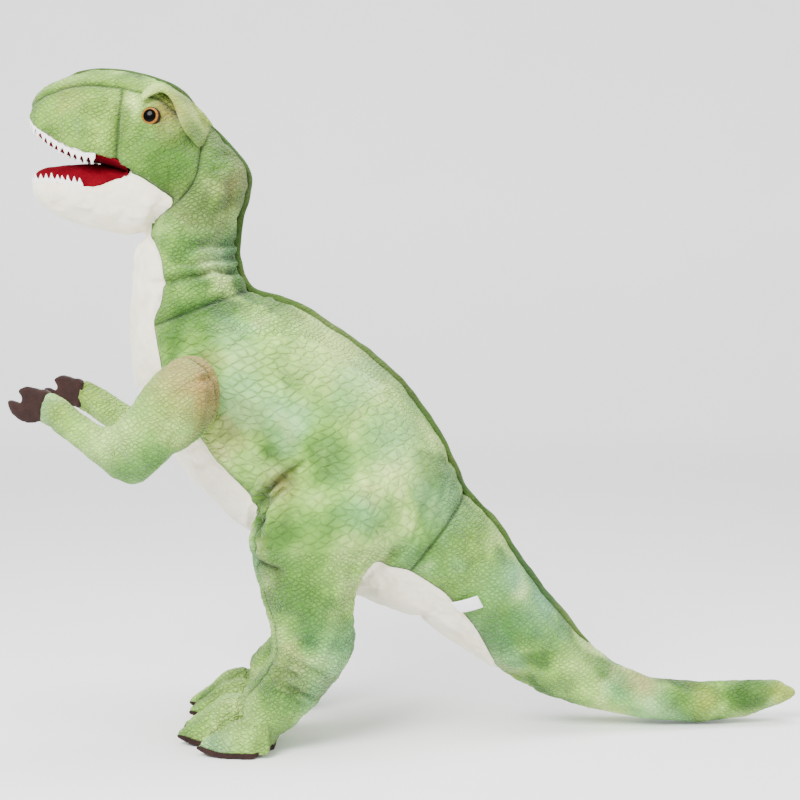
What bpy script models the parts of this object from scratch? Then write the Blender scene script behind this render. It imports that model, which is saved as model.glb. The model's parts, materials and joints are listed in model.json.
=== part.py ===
"""Stuffed standing dinosaur: sewn panels over stuffing, with felt teeth, safety eyes and two soft arms.

The toy looks along -X with its left flank at -Y, and rests on two feet and the tail at Z = 0.
Each sewn panel is a thin shell over its own block of stuffing. Units are metres.
"""

import math

import bmesh
import bpy
from mathutils import Matrix, Vector

# Fabric and gaps
FABRIC = 0.0025
GAP = 0.0004
CORE_INSET = FABRIC + GAP
SEAM = 0.010  # half the gap at a cross seam, in stations
BELLY_GAP = 0.0006  # half the gap along a belly seam
STRIP_HALF = 0.0022
STRIP_RISE = 0.0060
STRIP_RISE_HEAD = 0.0035

# Trunk stations, head seam to tail tip: back (x, z), belly (x, z), half width
TRUNK = [
    (-0.242, 0.697, -0.303, 0.571, 0.060),
    (-0.209, 0.664, -0.3035, 0.5682, 0.061),
    (-0.191, 0.635, -0.309, 0.5622, 0.061),
    (-0.196, 0.609, -0.319, 0.5555, 0.060),
    (-0.206, 0.567, -0.325, 0.540, 0.059),
    (-0.205, 0.537, -0.325, 0.510, 0.062),
    (-0.190, 0.505, -0.325, 0.455, 0.072),
    (-0.136, 0.481, -0.320, 0.402, 0.094),
    (-0.078, 0.444, -0.296, 0.350, 0.110),
    (-0.024, 0.400, -0.260, 0.296, 0.118),
    (0.017, 0.346, -0.203, 0.240, 0.116),
    (0.041, 0.304, -0.134, 0.188, 0.106),
    (0.057, 0.274, -0.049, 0.146, 0.090),
    (0.092, 0.232, 0.004, 0.126, 0.073),
    (0.127, 0.182, 0.054, 0.093, 0.061),
    (0.165, 0.138, 0.103, 0.057, 0.051),
    (0.211, 0.090, 0.168, 0.029, 0.041),
    (0.260, 0.063, 0.238, 0.010, 0.033),
    (0.312, 0.048, 0.309, 0.0005, 0.027),
    (0.373, 0.047, 0.374, 0.004, 0.022),
    (0.420, 0.051, 0.425, 0.020, 0.015),
    (0.444, 0.041, 0.445, 0.032, 0.005),
]
NECK_SEAM = 6
TAIL_SEAM = 12
STRIP_END = 16
BELLY_END = 15.0
# Half angle of the belly panel about the belly line, in degrees, at some stations
BELLY_ANGLE = [
    (0, 60), (3, 68), (5, 62), (6, 54), (7, 50), (9, 46), (10, 45), (11, 56), (12, 74), (13, 70), (14, 56), (15, 3),
]

# Upper head stations, snout tip to neck seam: top (x, z), lip (x, z), half width
UPPER_HEAD = [
    (-0.4385, 0.708, -0.438, 0.700, 0.006),
    (-0.431, 0.723, -0.429, 0.687, 0.026),
    (-0.410, 0.738, -0.405, 0.668, 0.037),
    (-0.381, 0.749, -0.381, 0.656, 0.045),
    (-0.345, 0.751, -0.350, 0.648, 0.051),
    (-0.308, 0.745, -0.324, 0.635, 0.058),
    (-0.272, 0.731, -0.300, 0.624, 0.061),
    (-0.243, 0.699, -0.284, 0.612, 0.062),
]
# Lower jaw stations: chin (x, z), lip (x, z), half width
JAW = [
    (-0.4355, 0.617, -0.435, 0.625, 0.006),
    (-0.426, 0.604, -0.427, 0.628, 0.026),
    (-0.405, 0.590, -0.402, 0.627, 0.037),
    (-0.380, 0.582, -0.378, 0.623, 0.045),
    (-0.352, 0.575, -0.353, 0.621, 0.050),
    (-0.328, 0.569, -0.3255, 0.6337, 0.056),
    (-0.316, 0.5695, -0.3015, 0.6225, 0.058),
    (-0.3052, 0.5720, -0.2862, 0.6112, 0.059),
]
MOUTH_END = 4.3
MOUTH_CORNER = 4.9
SNOUT_SEAM = 4.5
CROWN_ANGLE = 52
PALATE_DROP = 0.007
TONGUE_RISE = 0.011
LINING_INSET = 0.0074

# Leg stations, hip to toes: front (x, z), back (x, z), centre |y|, half width
LEG = [
    (-0.120, 0.350, -0.020, 0.335, 0.060, 0.040),
    (-0.150, 0.310, -0.008, 0.285, 0.072, 0.052),
    (-0.176, 0.275, -0.025, 0.240, 0.082, 0.056),
    (-0.188, 0.240, -0.048, 0.208, 0.087, 0.054),
    (-0.186, 0.205, -0.066, 0.180, 0.089, 0.050),
    (-0.175, 0.165, -0.072, 0.150, 0.090, 0.046),
    (-0.165, 0.125, -0.070, 0.122, 0.090, 0.043),
    (-0.166, 0.102, -0.077, 0.094, 0.089, 0.042),
    (-0.177, 0.083, -0.100, 0.064, 0.087, 0.044),
    (-0.191, 0.070, -0.128, 0.033, 0.084, 0.049),
    (-0.196, 0.063, -0.158, 0.008, 0.081, 0.055),
    (-0.197, 0.058, -0.189, 0.004, 0.079, 0.060),
]
LEG_FRONT_SEAM = 24
LEG_BACK_SEAM = 190

# Toe rows at each distance from the foot: x, top z, half width
TOE_SHAPE = [
    (0.0, 0.053, 0.0195), (0.30, 0.052, 0.0205), (0.60, 0.041, 0.0175), (0.86, 0.026, 0.0105), (1.0, 0.016, 0.004),
]
TOES = {"inner": (0.038, 0.033, 0.069), "middle": (0.080, 0.078, 0.072), "outer": (0.122, 0.126, 0.047)}
TOE_START = -0.1985
SOLE = 0.0036
SOLE_BOX = (-0.188, -0.158, 0.036, 0.122)

# Arm stations, shoulder to wrist: top (x, z), underside (x, z), centre |y|, half width, turn of the
# width (degrees)
ARM = [
    (-0.240, 0.424, -0.246, 0.362, 0.050, 0.028, 8),
    (-0.252, 0.434, -0.255, 0.345, 0.103, 0.036, 25),
    (-0.272, 0.424, -0.263, 0.333, 0.126, 0.036, 50),
    (-0.298, 0.400, -0.285, 0.314, 0.137, 0.034, 74),
    (-0.317, 0.375, -0.304, 0.300, 0.139, 0.031, 87),
    (-0.331, 0.362, -0.324, 0.304, 0.138, 0.028, 92),
    (-0.347, 0.366, -0.346, 0.320, 0.136, 0.025, 94),
    (-0.368, 0.379, -0.367, 0.336, 0.132, 0.023, 94),
    (-0.388, 0.391, -0.390, 0.352, 0.128, 0.0205, 94),
    (-0.401, 0.396, -0.408, 0.362, 0.124, 0.018, 94),
]
LEG_CLEARANCE = 0.0009
ARM_CLEARANCE = 0.0036  # leaves the arm room to swing at the shoulder
HAND_OUTLINE = [
    (-0.4100, 0.3635), (-0.424, 0.3625), (-0.438, 0.3705), (-0.4445, 0.386), (-0.438, 0.386),
    (-0.430, 0.3835), (-0.429, 0.391), (-0.4325, 0.397), (-0.422, 0.4015), (-0.4035, 0.3960),
]
HAND_HALF = 0.007
HAND_EDGE = 0.003
HAND_PLACE = 0.1175

# Eyes
EYE_STATION = 5.58
EYE_ANGLE = 32.5
EYE_AXIS = Vector((-0.20, -0.97, 0.13)).normalized()
EYE_RADIUS = 0.0105
EYE_RISE = 0.0065
POST_RADIUS = 0.0028
POST_LENGTH = 0.016
WASHER_RADIUS = 0.0080
WASHER_DEPTH = 0.0085
WASHER_THICK = 0.0014

# Teeth
TOOTH_FELT = 0.0012
TOOTH_GAP = 0.0016
UPPER_TOOTH = 0.0085
LOWER_TOOTH = 0.0075
TEETH_A_SIDE = 14

# Label, sewn into the left belly seam under the tail: corners as (station, angle), then how far it
# stands off the fabric
LABEL_SEWN = ((13.08, 113.0), (13.37, 115.0), 0.0018)
LABEL_FREE = (13.38, 89.0, 0.0058)
LABEL_THICK = 0.0008

COLOURS = {
    "scaled_plush": ((0.42, 0.60, 0.30), 0.95),
    "belly_plush": ((0.87, 0.84, 0.78), 0.95),
    "claw_felt": ((0.20, 0.12, 0.11), 0.95),
    "mouth_felt": ((0.66, 0.02, 0.06), 0.95),
    "tooth_felt": ((0.92, 0.91, 0.88), 0.95),
    "stuffing": ((0.95, 0.95, 0.93), 1.0),
    "eye_plastic": ((0.55, 0.30, 0.12), 0.15),
    "washer_plastic": ((0.90, 0.90, 0.88), 0.5),
    "label_satin": ((0.93, 0.92, 0.95), 0.6),
}


def clear_scene():
    for obj in list(bpy.data.objects):
        bpy.data.objects.remove(obj)


def material(slot):
    made = bpy.data.materials.get(slot)
    if made is None:
        made = bpy.data.materials.new(slot)
        made.use_nodes = True
        colour, rough = COLOURS[slot]
        surface = made.node_tree.nodes["Principled BSDF"]
        surface.inputs["Base Color"].default_value = (*colour, 1)
        surface.inputs["Roughness"].default_value = rough
    return made


def add_mesh(name, points, faces, slot):
    mesh = bpy.data.meshes.new(name)
    mesh.from_pydata([tuple(p) for p in points], [], faces)
    mesh.validate()
    mesh.shade_smooth()
    mesh.set_sharp_from_angle(angle=math.radians(40))
    obj = bpy.data.objects.new(name, mesh)
    bpy.context.scene.collection.objects.link(obj)
    obj.data.materials.append(material(slot))
    return obj


def as_cutter(obj):
    obj.hide_render = True
    obj.display_type = "WIRE"
    return obj


def cut(obj, cutter):
    boolean = obj.modifiers.new("cut_" + cutter.name, "BOOLEAN")
    boolean.operation = "DIFFERENCE"
    boolean.object = cutter
    return obj


def between(rows, s):
    """A row at fractional station s, on a Catmull-Rom curve through the rows."""
    s = min(max(s, 0.0), len(rows) - 1.0)
    i = min(int(s), len(rows) - 2)
    t = s - i
    a, b, c, d = (rows[min(max(k, 0), len(rows) - 1)] for k in (i - 1, i, i + 1, i + 2))
    out = []
    for p, q, r, w in zip(a, b, c, d):
        square, cube = 2 * p - 5 * q + 4 * r - w, 3 * q - p - 3 * r + w
        out.append(0.5 * (2 * q + (r - p) * t + square * t**2 + cube * t**3))
    return out


def lookup(pairs, x):
    """A straight-line reading of (x, value) pairs."""
    for (x0, v0), (x1, v1) in zip(pairs, pairs[1:]):
        if x <= x1:
            return v0 + (v1 - v0) * max(0.0, x - x0) / (x1 - x0)
    return pairs[-1][1]


def steps(start, end, count):
    return [start + (end - start) * k / (count - 1) for k in range(count)]


# Surfaces. Each takes a station, an angle in degrees and how far inside the outer face, and gives a point.


def trunk_at(s, angle, inset=0.0):
    """Angle 0 is the back, 90 the left flank, 180 the belly."""
    bx, bz, vx, vz, half = between(TRUNK, s)
    back, belly = Vector((bx, 0, bz)), Vector((vx, 0, vz))
    centre, reach = (back + belly) / 2, (back - belly) / 2
    up = reach.normalized() * max(reach.length - inset, 0.001)
    a = math.radians(angle)
    return centre + up * math.cos(a) + Vector((0, -max(half - inset, 0.001), 0)) * math.sin(a)


def arch_at(rows, s, angle, inset=0.0):
    """Angle 0 is the left lip, 90 the far side of the arch, 180 the right lip."""
    tx, tz, lx, lz, half = between(rows, s)
    top, lip = Vector((tx, 0, tz)), Vector((lx, 0, lz))
    rise = (top - lip).normalized()
    height = max((top - lip).length - inset, 0.001)
    a = math.radians(angle)
    across = math.copysign(abs(math.cos(a)) ** 0.8, math.cos(a))
    side = Vector((0, -max(half - inset, 0.001) * across, 0))
    return lip + side + rise * height * abs(math.sin(a)) ** 0.8


def leg_at(side, s, angle, inset=0.0):
    """Angle 0 is the front, 90 the outer side, 180 the back."""
    fx, fz, bx, bz, out, half = between(LEG, s)
    front, back = Vector((fx, 0, fz)), Vector((bx, 0, bz))
    centre, reach = (front + back) / 2, (front - back) / 2
    a = math.radians(angle)
    point = centre + reach.normalized() * (reach.length - inset) * math.cos(a)
    point.y = side * (out + (half - inset) * math.sin(a))
    return point


def arm_at(side, s, angle, inset=0.0):
    """Angle 0 is the top, 90 the outer side, 180 the underside."""
    tx, tz, ux, uz, out, half, turn = between(ARM, s)
    top, under = Vector((tx, 0, tz)), Vector((ux, 0, uz))
    reach = (top - under) / 2
    a, t = math.radians(angle), math.radians(turn)
    point = (top + under) / 2 + reach.normalized() * (reach.length - inset) * math.cos(a)
    width = (half - inset) * math.sin(a)
    point.x += width * math.cos(t)
    point.y = side * (out + width * math.sin(t))
    return point


# Builders


def quad(a, b, c, d):
    """Two triangles, always split from a to c, so that faces a gap apart stay parallel."""
    return [[a, b, c], [a, c, d]]


def shell(name, at, stations, angles, slot):
    """A closed shell of fabric over the given stations and, at each of them, the given angles."""
    rows = [[at(s, a, inset) for a in angles(s)] for inset in (0.0, FABRIC) for s in stations]
    n, m = len(stations), len(rows[0])
    points = [p for row in rows for p in row]
    faces = []
    for i in range(n - 1):
        for j in range(m - 1):
            o = i * m + j
            for base in (0, n * m):
                faces += quad(base + o, base + o + m, base + o + m + 1, base + o + 1)
    rim = [(i, 0) for i in range(n)] + [(n - 1, j) for j in range(1, m)]
    rim += [(i, m - 1) for i in range(n - 2, -1, -1)] + [(0, j) for j in range(m - 2, 0, -1)]
    rim = [i * m + j for i, j in rim]
    for a, b in zip(rim, rim[1:] + rim[:1]):
        faces += quad(a, b, b + n * m, a + n * m)
    return outward(add_mesh(name, points, faces, slot))


def ring_shell(name, at, stations, angles, slot):
    """A tube of fabric, open at both ends."""
    n, m = len(stations), len(angles)
    points = [at(s, a, inset) for inset in (0.0, FABRIC) for s in stations for a in angles]
    faces = []
    for k in range(m):
        j = (k + 1) % m
        for i in range(n - 1):
            for base in (0, n * m):
                here, after = base + i * m, base + (i + 1) * m
                faces += quad(here + k, after + k, after + j, here + j)
        for i in (0, n - 1):
            faces += quad(i * m + k, i * m + j, n * m + i * m + j, n * m + i * m + k)
    return outward(add_mesh(name, points, faces, slot))


def core(name, ring, stations, slot="stuffing"):
    """A closed solid through rings of points, with flat ends."""
    rings = [ring(s) for s in stations]
    n, m = len(rings), len(rings[0])
    points = [p for r in rings for p in r]
    faces = [list(range(m)), [(n - 1) * m + k for k in range(m)]]
    for i in range(n - 1):
        for k in range(m):
            j = (k + 1) % m
            faces += quad(i * m + k, (i + 1) * m + k, (i + 1) * m + j, i * m + j)
    return outward(add_mesh(name, points, faces, slot))


def outward(obj):
    """Turns every face of a closed mesh to point out."""
    mesh = bmesh.new()
    mesh.from_mesh(obj.data)
    bmesh.ops.recalc_face_normals(mesh, faces=mesh.faces)
    mesh.to_mesh(obj.data)
    mesh.free()
    return obj


NECK_STATIONS = steps(0.05, NECK_SEAM - SEAM, 8)
TORSO_STATIONS = steps(NECK_SEAM + SEAM, TAIL_SEAM - SEAM, 7)
TAIL_STATIONS = steps(TAIL_SEAM + SEAM, 20.95, 11)
TRUNK_STATIONS = NECK_STATIONS + TORSO_STATIONS + TAIL_STATIONS


def seam_angle(s):
    """Half the gap along a belly seam, as an angle."""
    return math.degrees(BELLY_GAP / between(TRUNK, s)[4])


def trunk_left(s):
    """From beside the ridge strip to the belly panel, or to the line under the tail."""
    top = math.degrees(math.asin((STRIP_HALF + GAP) / max(between(TRUNK, s)[4], 0.0052)))
    low = lookup(BELLY_ANGLE, s) if s < BELLY_END else 0.0
    return steps(top, 180 - low - seam_angle(s), 8)


def trunk_right(s):
    return [360 - a for a in reversed(trunk_left(s))]


def trunk_belly(s):
    half = lookup(BELLY_ANGLE, s) - seam_angle(s)
    return steps(180 - half, 180 + half, 6)


def trunk_ring(s, inset):
    left, right = trunk_left(s), trunk_right(s)
    middle = trunk_belly(s) if s < BELLY_END else steps(left[-1], right[0], 8)[1:-1]
    return [trunk_at(s, a, inset) for a in left + middle + right]


def make_trunk():
    for name, stations in (("neck", NECK_STATIONS), ("torso", TORSO_STATIONS), ("tail", TAIL_STATIONS)):
        shell(f"{name}_side_left", trunk_at, stations, trunk_left, "scaled_plush")
        shell(f"{name}_side_right", trunk_at, stations, trunk_right, "scaled_plush")
    core("neck_stuffing", lambda s: trunk_ring(s, CORE_INSET), NECK_STATIONS)
    core("torso_stuffing", lambda s: trunk_ring(s, CORE_INSET), TORSO_STATIONS)
    core("tail_stuffing", lambda s: trunk_ring(s, CORE_INSET), TAIL_STATIONS)
    under = [s for s in TRUNK_STATIONS if s < BELLY_END]
    shell("belly_panel", trunk_at, under, trunk_belly, "belly_plush")
    make_strip()


def make_strip():
    """The raised ridge down the back, one flat piece standing on edge."""
    low, high = [], []
    for s in steps(2.4, 6.98, 9):
        low.append(arch_at(UPPER_HEAD, s, 90, -GAP))
        high.append(arch_at(UPPER_HEAD, s, 90, -STRIP_RISE_HEAD))
    for s in [s for s in TRUNK_STATIONS if s < STRIP_END]:
        rise = STRIP_RISE * min(1.0, (STRIP_END - s) / 1.5 + 0.15)
        low.append(trunk_at(s, 0, FABRIC - GAP))
        high.append(trunk_at(s, 0, -rise))
    outline = low + high[::-1]
    n, m = len(low), len(outline)
    points = [p + Vector((0, y, 0)) for y in (-STRIP_HALF, STRIP_HALF) for p in outline]
    faces = []
    for k in range(n - 1):
        for base in (0, m):
            faces += quad(base + k, base + k + 1, base + m - 2 - k, base + m - 1 - k)
    for k in range(m):
        j = (k + 1) % m
        faces += quad(k, k + m, j + m, j)
    outward(add_mesh("spine_strip", points, faces, "scaled_plush"))


SNOUT_STATIONS = steps(0.05, SNOUT_SEAM - SEAM, 8)
CHEEK_STATIONS = steps(SNOUT_SEAM + SEAM, 6.95, 5)
FLANK_ANGLES = steps(0.8, CROWN_ANGLE - 0.5, 5)
CROWN_ANGLES = steps(CROWN_ANGLE, 180 - CROWN_ANGLE, 6)
CHIN_ANGLES = steps(0.8, 179.2, 11)


def make_head():
    stations = SNOUT_STATIONS + CHEEK_STATIONS

    def upper(s, a, inset):
        return arch_at(UPPER_HEAD, s, a, inset)

    def lower(s, a, inset):
        return arch_at(JAW, s, a, inset)

    opposite = [180 - a for a in reversed(FLANK_ANGLES)]
    shell("crown_panel", upper, stations, lambda s: CROWN_ANGLES, "scaled_plush")
    for side, flank in (("left", FLANK_ANGLES), ("right", opposite)):
        shell(f"snout_side_{side}", upper, SNOUT_STATIONS, lambda s, f=flank: f, "scaled_plush")
        shell(f"cheek_{side}", upper, CHEEK_STATIONS, lambda s, f=flank: f, "scaled_plush")
    turn = FLANK_ANGLES + CROWN_ANGLES[1:-1] + opposite
    core("head_stuffing", lambda s: [upper(s, a, CORE_INSET) for a in turn], stations)
    jaw = steps(0.05, 6.95, 12)
    shell("chin_panel", lower, jaw, lambda s: CHIN_ANGLES, "belly_plush")
    core("jaw_stuffing", lambda s: [lower(s, a, CORE_INSET) for a in CHIN_ANGLES], jaw)
    make_linings()
    make_teeth()
    make_brows()
    make_eyes()


def lining(name, rows, bulge, sign):
    """A domed red lining inside the mouth, on the flat of the head or of the jaw."""
    across = steps(0.0, 1.0, 9)

    def ring(s):
        left, right = arch_at(rows, s, 0, LINING_INSET), arch_at(rows, s, 180, LINING_INSET)
        share = min(1.0, (s - 0.3) / 1.2, (MOUTH_CORNER - s) / 1.6)
        base = [left.lerp(right, a) + Vector((0, 0, sign * GAP)) for a in across]
        rise = [Vector((0, 0, sign * (0.001 + bulge * share * math.sin(math.pi * a)))) for a in across]
        return [p + r for p, r in zip(base, rise)] + [base[-1], base[0]]

    core(name, ring, steps(0.8, MOUTH_END, 9), "mouth_felt")


def make_linings():
    lining("palate_lining", UPPER_HEAD, PALATE_DROP, -1)
    lining("jaw_lining", JAW, TONGUE_RISE, 1)


def evenly(points, count):
    """Points at even distances along a line through the given ones."""
    lengths = [0.0]
    for a, b in zip(points, points[1:]):
        lengths.append(lengths[-1] + (b - a).length)
    out = []
    for want in steps(0.0, lengths[-1], count):
        i = next(k for k in range(1, len(lengths)) if lengths[k] >= want - 1e-9)
        out.append(points[i - 1].lerp(points[i], (want - lengths[i - 1]) / (lengths[i] - lengths[i - 1])))
    return out


def teeth_band(name, rows, length, sign):
    """A zigzag felt band round the lip, from one corner of the mouth to the other."""
    along = steps(MOUTH_END, 0.0, 30)
    lines = []
    for inset in (0.0022, 0.0022 + TOOTH_FELT):
        # At the front the band steps back as well as in, down the slope of the lip.
        step = Vector((1, 0, 1.4 * sign)) * inset
        left = [arch_at(rows, s, 0, inset) + step * (1 - min(s, 1.0)) for s in along]
        right = [Vector((p.x, -p.y, p.z)) for p in reversed(left)]
        lines.append(evenly(left + right, 4 * TEETH_A_SIDE + 1))

    def ring(k):
        outer, inner = lines[0][k], lines[1][k]
        edge = Vector((0, 0, sign * TOOTH_GAP))
        tip = Vector((0, 0, sign * (TOOTH_GAP + (length if k % 2 else 0.0018))))
        return [outer + edge, inner + edge, inner + tip, outer + tip]

    core(name, ring, range(4 * TEETH_A_SIDE + 1), "tooth_felt")


def make_teeth():
    teeth_band("upper_teeth", UPPER_HEAD, UPPER_TOOTH, -1)
    teeth_band("lower_teeth", JAW, LOWER_TOOTH, 1)


def make_brows():
    """A sewn hood of fabric above and behind each eye, highest over the eye."""
    front = [(4.95, 52), (5.35, 54), (5.75, 47), (6.15, 37), (6.5, 27), (6.8, 18)]
    rear = [(5.05, 56), (5.55, 62), (6.05, 58), (6.45, 48), (6.7, 36), (6.85, 22)]
    rise = [0.002, 0.014, 0.014, 0.011, 0.007, 0.0015]
    head_surface()
    for side in ("left", "right"):
        points = []
        for (s, a), (t, b), h in zip(front, rear, rise):
            if side == "right":
                a, b = 180 - a, 180 - b
            foot, heel = arch_at(UPPER_HEAD, s, a, -GAP), arch_at(UPPER_HEAD, t, b, -GAP)
            ridge, crest = arch_at(UPPER_HEAD, s, a, -h - GAP), arch_at(UPPER_HEAD, t, b, -0.0022 - GAP)
            points += [foot, ridge, ridge.lerp(crest, 0.5) + (ridge - foot) * 0.12, crest, heel]
        m = 5
        n = len(rise)
        faces = [list(range(m)), [(n - 1) * m + k for k in range(m)]]
        for i in range(n - 1):
            for k in range(m):
                j = (k + 1) % m
                faces.append([i * m + k, i * m + j, (i + 1) * m + j, (i + 1) * m + k])
        brow = outward(add_mesh(f"brow_flap_{side}", points, faces, "scaled_plush"))
        cut(brow, bpy.data.objects["head_surface"])


def head_surface():
    """The head's outer face as a solid, to trim what stands on it."""
    angles = steps(0, 180, 25)
    return as_cutter(
        core("head_surface", lambda s: [arch_at(UPPER_HEAD, s, a, -GAP) for a in angles], steps(0.1, 7, 29))
    )


def turned(name, profile, slot, count=20):
    """A solid turned about local Z from a (radius, z) profile that starts and ends on the axis."""
    points = [Vector((0, 0, profile[0][1])), Vector((0, 0, profile[-1][1]))]
    rows = profile[1:-1]
    for r, z in rows:
        turns = [2 * math.pi * k / count for k in range(count)]
        points += [Vector((r * math.cos(turn), r * math.sin(turn), z)) for turn in turns]
    faces = []
    for k in range(count):
        j = (k + 1) % count
        faces.append([0, 2 + j, 2 + k])
        faces.append([1, 2 + (len(rows) - 1) * count + k, 2 + (len(rows) - 1) * count + j])
        for i in range(len(rows) - 1):
            here = 2 + i * count
            faces.append([here + k, here + j, here + count + j, here + count + k])
    return outward(add_mesh(name, points, faces, slot))


def washer(name, count=20):
    inner = POST_RADIUS + GAP
    faces, points = [], []
    for z in (0.0, WASHER_THICK):
        for r in (inner, WASHER_RADIUS):
            for k in range(count):
                turn = 2 * math.pi * k / count
                points.append(Vector((r * math.cos(turn), r * math.sin(turn), z)))
    for k in range(count):
        j = (k + 1) % count
        for a, b in ((0, 1), (1, 3), (3, 2), (2, 0)):
            faces.append([a * count + k, a * count + j, b * count + j, b * count + k])
    return outward(add_mesh(name, points, faces, "washer_plastic"))


def make_eyes():
    """Safety eyes: a dome on a post through the cheek, held by a washer inside the stuffing."""
    for side, sign in (("left", 1), ("right", -1)):
        place = arch_at(UPPER_HEAD, EYE_STATION, EYE_ANGLE)
        place.y *= sign
        axis = Vector((EYE_AXIS.x, sign * EYE_AXIS.y, EYE_AXIS.z))
        pose = Matrix.Translation(place) @ axis.to_track_quat("Z", "Y").to_matrix().to_4x4()
        dome = [(0, EYE_RISE)]
        dome += [(EYE_RADIUS * math.sin(a), EYE_RISE * math.cos(a)) for a in steps(0.3, math.pi / 2, 6)]
        dome += [(EYE_RADIUS, -0.0006), (POST_RADIUS, -0.0006)]
        dome += [(POST_RADIUS, -POST_LENGTH), (0, -POST_LENGTH)]
        eye = turned(f"eye_{side}", dome, "eye_plastic")
        eye.matrix_world = pose
        ring = washer(f"eye_washer_{side}")
        ring.matrix_world = pose @ Matrix.Translation((0, 0, -WASHER_DEPTH))
        hole = POST_RADIUS + GAP
        seat = EYE_RADIUS + GAP
        pocket = WASHER_RADIUS + GAP
        low, high = -WASHER_DEPTH - GAP, -WASHER_DEPTH + WASHER_THICK + GAP
        profile = [(0, -POST_LENGTH - GAP), (hole, -POST_LENGTH - GAP), (hole, low), (pocket, low)]
        profile += [(pocket, high), (hole, high)]
        profile += [(hole, -0.0006 - GAP), (seat, -0.0006 - GAP), (seat, 0.02), (0, 0.02)]
        bore = as_cutter(turned(f"eye_bore_{side}", profile, "stuffing"))
        bore.matrix_world = pose
        for name in (f"cheek_{side}", "head_stuffing", f"brow_flap_{side}"):
            cut(bpy.data.objects[name], bore)


def trunk_cutter(name, clearance):
    """The trunk as one solid, a little larger, to trim the limbs that are sewn onto it."""
    stations = [s for s in TRUNK_STATIONS if NECK_SEAM - 1 < s < 17]
    return as_cutter(core(name, lambda s: trunk_ring(s, -clearance), stations))


def make_legs(cutter):
    outer = steps(LEG_FRONT_SEAM + 0.4, LEG_BACK_SEAM - 0.4, 9)
    inner = steps(LEG_BACK_SEAM + 0.4, 360 + LEG_FRONT_SEAM - 0.4, 8)
    stations = steps(0.0, len(LEG) - 1.0, 14)
    for side, sign in (("left", -1), ("right", 1)):

        def at(s, a, inset, g=sign):
            return leg_at(g, s, a, inset)

        shell(f"leg_outer_{side}", at, stations, lambda s: outer, "scaled_plush")
        shell(f"leg_inner_{side}", at, stations, lambda s: inner, "scaled_plush")
        core(f"leg_stuffing_{side}", lambda s: [at(s, a, CORE_INSET) for a in outer + inner], stations)
        for name in ("leg_outer", "leg_inner", "leg_stuffing"):
            cut(bpy.data.objects[f"{name}_{side}"], cutter)
        make_foot(side, sign)


def toe_ring(sign, toe, t, low):
    """The arch of a toe above height low, at a share t of its length."""
    y0, y1, length = toe
    top, half = (lookup([(r[0], r[k]) for r in TOE_SHAPE], t) for k in (1, 2))
    x = TOE_START - length * t
    y = sign * (y0 + (y1 - y0) * t)
    lift = 0.010 * max(0.0, (t - 0.7) / 0.3) ** 1.5
    points = []
    for a in steps(0, math.pi, 9):
        rise = (top - low - lift) * math.sin(a) ** 0.8
        points.append(Vector((x, y + half * math.cos(a), low + lift + rise)))
    return points


def make_foot(side, sign):
    for label, toe in TOES.items():
        along = steps(0.0, 1.0, 7)
        core(f"toe_{label}_{side}", lambda t: toe_ring(sign, toe, t, SOLE + GAP), along, "scaled_plush")

        def sole_ring(t):
            arch = toe_ring(sign, toe, t, SOLE)
            left, right = arch[0], arch[-1]
            drop = Vector((0, 0, SOLE if t < 0.75 else SOLE * 0.8))
            return [left, right, right - drop, left - drop]

        core(f"toe_sole_{label}_{side}", sole_ring, along, "claw_felt")
    front, back, near, far = SOLE_BOX
    corners = [(front, near), (back - 0.006, near + 0.004), (back, near + 0.02)]
    corners += [(back, far - 0.02), (back - 0.006, far - 0.004), (front, far)]
    points = [Vector((x, sign * y, z)) for z in (0.0, SOLE) for x, y in corners]
    m = len(corners)
    faces = [list(range(m)), list(range(m, 2 * m))]
    faces += [[k, (k + 1) % m, m + (k + 1) % m, m + k] for k in range(m)]
    outward(add_mesh(f"foot_sole_{side}", points, faces, "claw_felt"))


def make_arms(cutter):
    for side, sign in (("left", -1), ("right", 1)):

        def at(s, a, inset, g=sign):
            return arm_at(g, s, a, inset)

        stations = steps(0.0, len(ARM) - 1.0, 13)
        turn = [360 * k / 14 for k in range(14)]
        sleeve = ring_shell(f"arm_sleeve_{side}", at, stations, turn, "scaled_plush")
        fill = core(f"arm_stuffing_{side}", lambda s: [at(s, a, CORE_INSET) for a in turn], stations)
        for obj in (sleeve, fill):
            cut(obj, cutter)
        make_hand(side, sign)


def make_hand(side, sign):
    """A flat felt hand with two claws, its edges eased."""
    outline = [between(HAND_OUTLINE, s) for s in steps(0, len(HAND_OUTLINE) - 1, 3 * len(HAND_OUTLINE) - 2)]
    centre = Vector((-0.420, sign * HAND_PLACE, 0.382))
    hand = core(
        f"hand_{side}",
        lambda y: [Vector((x - centre.x, y, z - centre.z)) * (0.86 if abs(y) == HAND_HALF else 1.0) for x, z in outline],
        [-HAND_HALF, HAND_EDGE - HAND_HALF, HAND_HALF - HAND_EDGE, HAND_HALF],
        "claw_felt",
    )
    hand.location = centre


def make_label():
    """A flat loop of satin ribbon that swings about its sewn edge, which is its local Z axis."""
    (s0, a0), (s1, a1), rise = LABEL_SEWN
    top, foot = trunk_at(s0, a0, -rise), trunk_at(s1, a1, -rise)
    free = trunk_at(LABEL_FREE[0], LABEL_FREE[1], -LABEL_FREE[2])
    seam, reach = foot - top, free - top
    out = reach.cross(seam).normalized()
    out = out if out.y < 0 else -out
    up = seam.normalized()
    side = up.cross(out)
    axes = Matrix((side, out, up)).transposed()
    corners = [Vector(), seam, seam + reach, reach]
    points = [axes.transposed() @ (c + out * t) for t in (0.0, LABEL_THICK) for c in corners]
    faces = [[0, 1, 2, 3], [4, 5, 6, 7]] + [[k, (k + 1) % 4, 4 + (k + 1) % 4, 4 + k] for k in range(4)]
    label = outward(add_mesh("label", points, faces, "label_satin"))
    label.matrix_world = Matrix.Translation(top) @ axes.to_4x4()


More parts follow.
